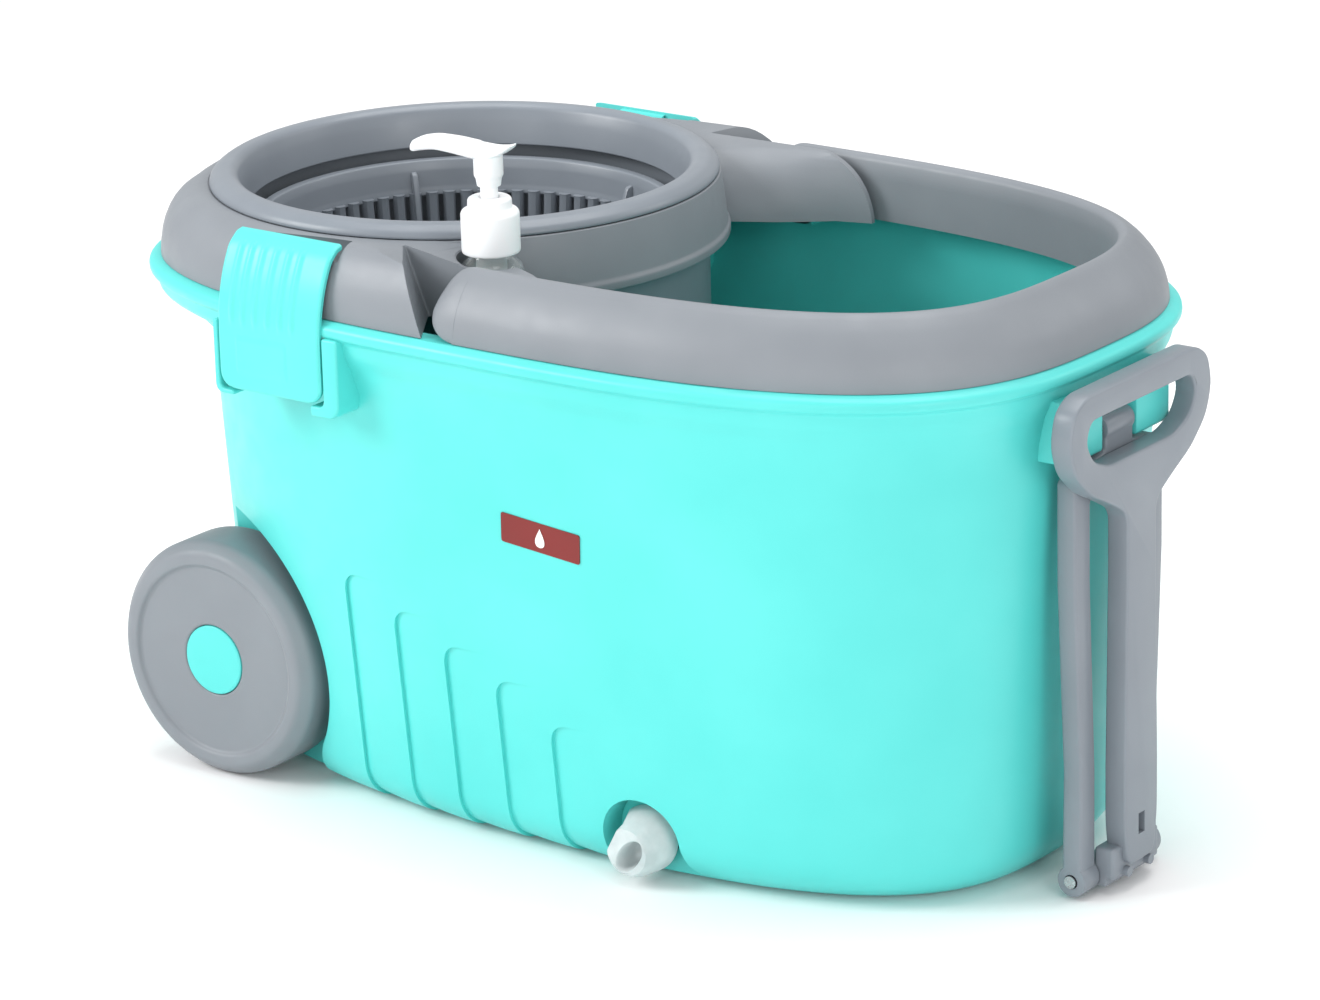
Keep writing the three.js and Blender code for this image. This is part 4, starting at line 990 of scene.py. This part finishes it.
# %% [markdown]
# ## Pull handle

# %%
def pull_link():
    half = [
        (-11.5, PULL_TOP_Z), (-11.5, 206), (-30, 204), (-37, 197), (-37, 150), (-32, 60), (-33, PULL_LOW_Z),
        (-20, PULL_LOW_Z), (-20, 60), (-24, 150), (-24, 186), (-18, 192),
    ]  # fmt: skip
    outline = half + [(-y, z) for y, z in reversed(half)]
    body = bevelled(slab("pull_link_fine", outline, PULL_X - 5, PULL_X + 5, "yz"), 1.6, 3, 25)
    knuckles = [
        rod("knuckle", 6, -11.5, 11.5, (PULL_X, PULL_TOP_Z), "y", 40),
        rod("knuckle", 7.4, -33, -20, (PULL_X, PULL_LOW_Z), "y", 40),
        rod("knuckle", 7.4, 20, 33, (PULL_X, PULL_LOW_Z), "y", 40),
    ]
    body = fuse(body, *[bevelled(k, 0.9, 2, 50) for k in knuckles])
    return cut(
        body,
        rod("bore", 3.4, -14, 14, (PULL_X, PULL_TOP_Z), "y", 32),
        rod("bore", 3.4, -40, 40, (PULL_X, PULL_LOW_Z), "y", 32),
    )


def pull_grip():
    inner, outer = PULL_X + 5.8, PULL_X + 16.8
    half = [
        (-12, 150), (-12, 180), (-26, 188), (-42, 196), (-55, 208), (-59.5, 222), (-56, 236), (-46, 242),
    ]  # fmt: skip
    shaft = [(14, 60), (14, 32), (11, 12)]
    outline = [(-y, z) for y, z in reversed(shaft)] + half + [(-y, z) for y, z in reversed(half)] + shaft
    hole = [(-27, 206), (-40, 211), (-46, 221), (-42, 230), (42, 230), (46, 221), (40, 211), (27, 206)]
    body = slab("pull_grip_fine", rounded(outline, 6, 5), inner, outer, "yz")
    body = cut(body, slab("hole", rounded(hole, 5, 5), inner - 5, outer + 5, "yz"))
    body = bevelled(body, 2.6, 4, 50)
    foot = bevelled(brick("foot", PULL_X - 1, PULL_X + 10, -19.5, 19.5, 3.5, 14), 0.8, 2, 50)
    elbow = bevelled(rod("elbow", 7, -19.5, 19.5, (PULL_X, PULL_LOW_Z), "y", 40), 0.8, 2, 50)
    bridge = bevelled(brick("bridge", inner - 2, PULL_X + 13.8, -19.5, 19.5, 7, 22), 1.5, 3, 50)
    nubs = [rod("nub", 2.4, PULL_X + 5, PULL_X + 16.4, (y, 9), "x", 24) for y in (-9, 9)]
    body = fuse(body, foot, elbow, bridge, *nubs)
    return cut(
        body,
        rod("bore", 3.4, -22, 22, (PULL_X, PULL_LOW_Z), "y", 32),
        brick("slot", PULL_X + 12.8, PULL_X + 20, -2.6, 2.6, 25, 35),
    )


piece(pull_link(), "link", grey_fine, ["pull_link"], 35)
piece(pull_grip(), "grip", grey_fine, ["pull_grip"], 35)


# %% [markdown]
# ## Soap bottle and pump

# %%
def on_bottle(name, profile, soften, steps=72, closed=True):
    return turned(name, rounded(profile, soften, 4, closed), (BOTTLE_X, BOTTLE_Y), "z", steps, closed)


bottle_profile = [
    (0, 190.3), (14, 190.3), (15.3, 192.3), (15.3, 269.5), (13.8, 274.6), (9.5, 278.8), (9.5, 288),
    (8.2, 288),
    (8.2, 278.2), (12.8, 273.6), (14.2, 269), (14.2, 191.5), (0, 191.5),
]  # fmt: skip
collar_profile = [
    (9.9, 280.3), (13.1, 280.3), (13.4, 281.4), (13.4, 298.6), (12.2, 300.3), (10.2, 300.5), (10, 305),
    (8.6, 306),
    (4.6, 306), (4.6, 291), (9.9, 291),
]  # fmt: skip
chamber_profile = [
    (2.9, 222), (4.2, 222), (4.4, 234), (7, 238), (7, 288.4), (9.3, 288.4), (9.3, 290.6), (5.6, 290.6),
    (5.6, 239),
    (1.6, 236), (1.6, 233), (2.9, 233),
]  # fmt: skip
piece(on_bottle("soap_bottle_fine", bottle_profile, 2, 96, False), "bottle", pet,
      ["soap_bottle"], 50)
piece(on_bottle("pump_collar_fine", collar_profile, 0.9), "bottle", white, ["pump_collar"],
      40)
piece(on_bottle("pump_chamber_fine", chamber_profile, 0.3, 40), "bottle", white,
      ["pump_chamber"])
dip = on_bottle("dip_tube_fine", [(1.5, 193), (2.5, 193), (2.5, 232.6), (1.5, 232.6)], 0.2, 32)
piece(dip, "bottle", white, ["dip_tube"])
stem_profile = [(1.6, 269), (5.3, 269), (5.3, 274), (4, 275.5), (4, 322), (1.6, 322)]
piece(on_bottle("pump_stem_fine", stem_profile, 0.5, 48), "stem", white, ["pump_stem"])


def pump_head():
    neck = [(0, 322.4), (4.4, 322.4), (4.4, 311), (5.4, 311), (5.9, 314.4), (6.7, 316), (6.7, 327),
            (0, 328.2)]
    skirt = on_bottle("pump_head_fine", neck, 0.6, 56, False)
    heading = math.radians(190)
    along = Vector((math.cos(heading), math.sin(heading), 0))
    across = Vector((-along.y, along.x, 0))
    # Distance from the axis, middle height, half width and half height of each station along the spout.
    stations = [
        (-12.6, 330.4, 3.6, 0.7), (-11.8, 329.9, 5.4, 1.2), (-9, 328.4, 6.6, 1.8), (-3, 326.8, 7.4, 3),
        (5, 327.0, 7.2, 3.7),
        (15, 328.4, 6.2, 3.8), (26, 329.2, 5, 3.5), (33, 327.9, 4.2, 3.3), (37.6, 326.2, 3.3, 2.7),
        (38.6, 325.6, 2.5, 1.8),
    ]  # fmt: skip
    stations = rounded(stations, 3, 4, False)
    rings = []
    for d, z, wide, tall in stations:
        ring = []
        for i in range(28):
            a = 2 * math.pi * i / 28
            c, s = math.cos(a), math.sin(a)
            u, v = math.copysign(abs(c) ** 0.75, c) * wide, math.copysign(abs(s) ** 0.75, s) * tall
            dish = 0.8 * (1 - (u / wide) ** 2) if s > 0 and d < 6 else 0
            p = along * d + across * u
            ring.append((BOTTLE_X + p.x, BOTTLE_Y + p.y, z + v - dish))
        rings.append(ring)
    head = fuse(skirt, loft("spout", rings))
    return cut(head, rod("passage", 4.4, 309, 322.4, (BOTTLE_X, BOTTLE_Y), "z", 40))


piece(pump_head(), "head", white, ["pump_head"], 45)


# %% [markdown]
# ## Drain plug
# A soft tapered plug, with a flat on one side for the fingers and a slanted oval hollow in its face.

# %%
def drain_plug():
    rings = []
    outer = [(7, 8), (7.4, 1), (7.4, -3.6), (14.2, -3.6), (15.6, -6), (15.2, -11), (13.6, -18), (11, -22.5)]
    for radius, y in rounded(outer, 3.2, 6, False):
        out = min(1.0, max(0.0, (-5 - y) / 14))
        flat = 15.4 - 6.4 * out
        ring = []
        for i in range(72):
            a = 2 * math.pi * i / 72
            facing = math.cos(a - math.radians(152))
            r = min(radius, flat / facing) if y < -3.7 and facing > 0.05 else radius
            ring.append((DRAIN_X - 1.5 * out + r * math.cos(a), y - DRAIN_BACK,
                         DRAIN_Z - 2.6 * out + r * math.sin(a)))
        rings.append(ring)
    tilt = math.radians(50)
    for scale, depth in ((1.06, 22.9), (1.0, 22.4), (0.95, 21), (0.88, 17), (0.78, 12), (0.6, 10),
                         (0.3, 9.4)):
        ring = []
        for i in range(72):
            a = 2 * math.pi * i / 72
            long, short = 9.4 * math.cos(a - tilt), 5.2 * math.sin(a - tilt)
            u = long * math.cos(tilt) - short * math.sin(tilt)
            v = long * math.sin(tilt) + short * math.cos(tilt)
            ring.append((DRAIN_X + 0.3 + u * scale, -DRAIN_BACK - depth, DRAIN_Z - 4.2 + v * scale))
        rings.append(ring)
    return loft("drain_plug_fine", rings)


piece(drain_plug(), "plug", silicone, ["drain_plug"], 45)


# %% [markdown]
# ## Badge
# A plain red plate with a simple water drop, bent to the wall.

# %%
def on_wall(name, outline, low, high):
    """A thin plate on the near wall. outline is in x and z, low and high are heights above the wall."""
    rings = [[(x, -wall_y(x, z, height), z) for x, z in outline] for height in (low, high)]
    return loft(name, rings)


LABEL_X, LABEL_Z, LABEL_W, LABEL_H = 34, 163, 43.4, 14.5
LABEL_TILT = math.radians(-5.5)


def tilted(points):
    c, s = math.cos(LABEL_TILT), math.sin(LABEL_TILT)
    return [(LABEL_X + u * c - v * s, LABEL_Z + u * s + v * c) for u, v in points]


half_w, half_h = LABEL_W / 2, LABEL_H / 2
plate = rounded([(-half_w, -half_h), (half_w, -half_h), (half_w, half_h), (-half_w, half_h)], 1.2, 4)
drop = []
for i in range(40):
    t = 2 * math.pi * i / 40
    drop.append((3.7 * math.sin(t) * math.sin(t / 2) ** 1.6, 4.7 * math.cos(t)))
plate, drop = tilted(plate), tilted(drop)
piece(on_wall("front_label_fine", plate, 0.05, 0.55), "tub", label_red, ["front_label"])
piece(on_wall("label_drop", drop, 0.5, 0.65), "tub", label_white)

# %% [markdown]
# ## Finishes on the pieces kept as they are

# %%
kept = {
    steel: [
        "wheel_stub_near", "wheel_stub_far", "wheel_retainer_near", "wheel_retainer_far", "latch_pin_near",
        "latch_pin_far", "handle_pin_near", "handle_pin_far", "link_pin", "elbow_pin", "drum_screw_1",
        "drum_screw_2",
        "drum_screw_3", "drum_screw_4", "spindle", "pump_spring",
    ],
    white: ["lower_bearing"],
    rubber: ["drain_gasket"],
}  # fmt: skip
for material, names in kept.items():
    for name in names:
        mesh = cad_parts[name].data
        mesh.materials.clear()
        mesh.materials.append(material)
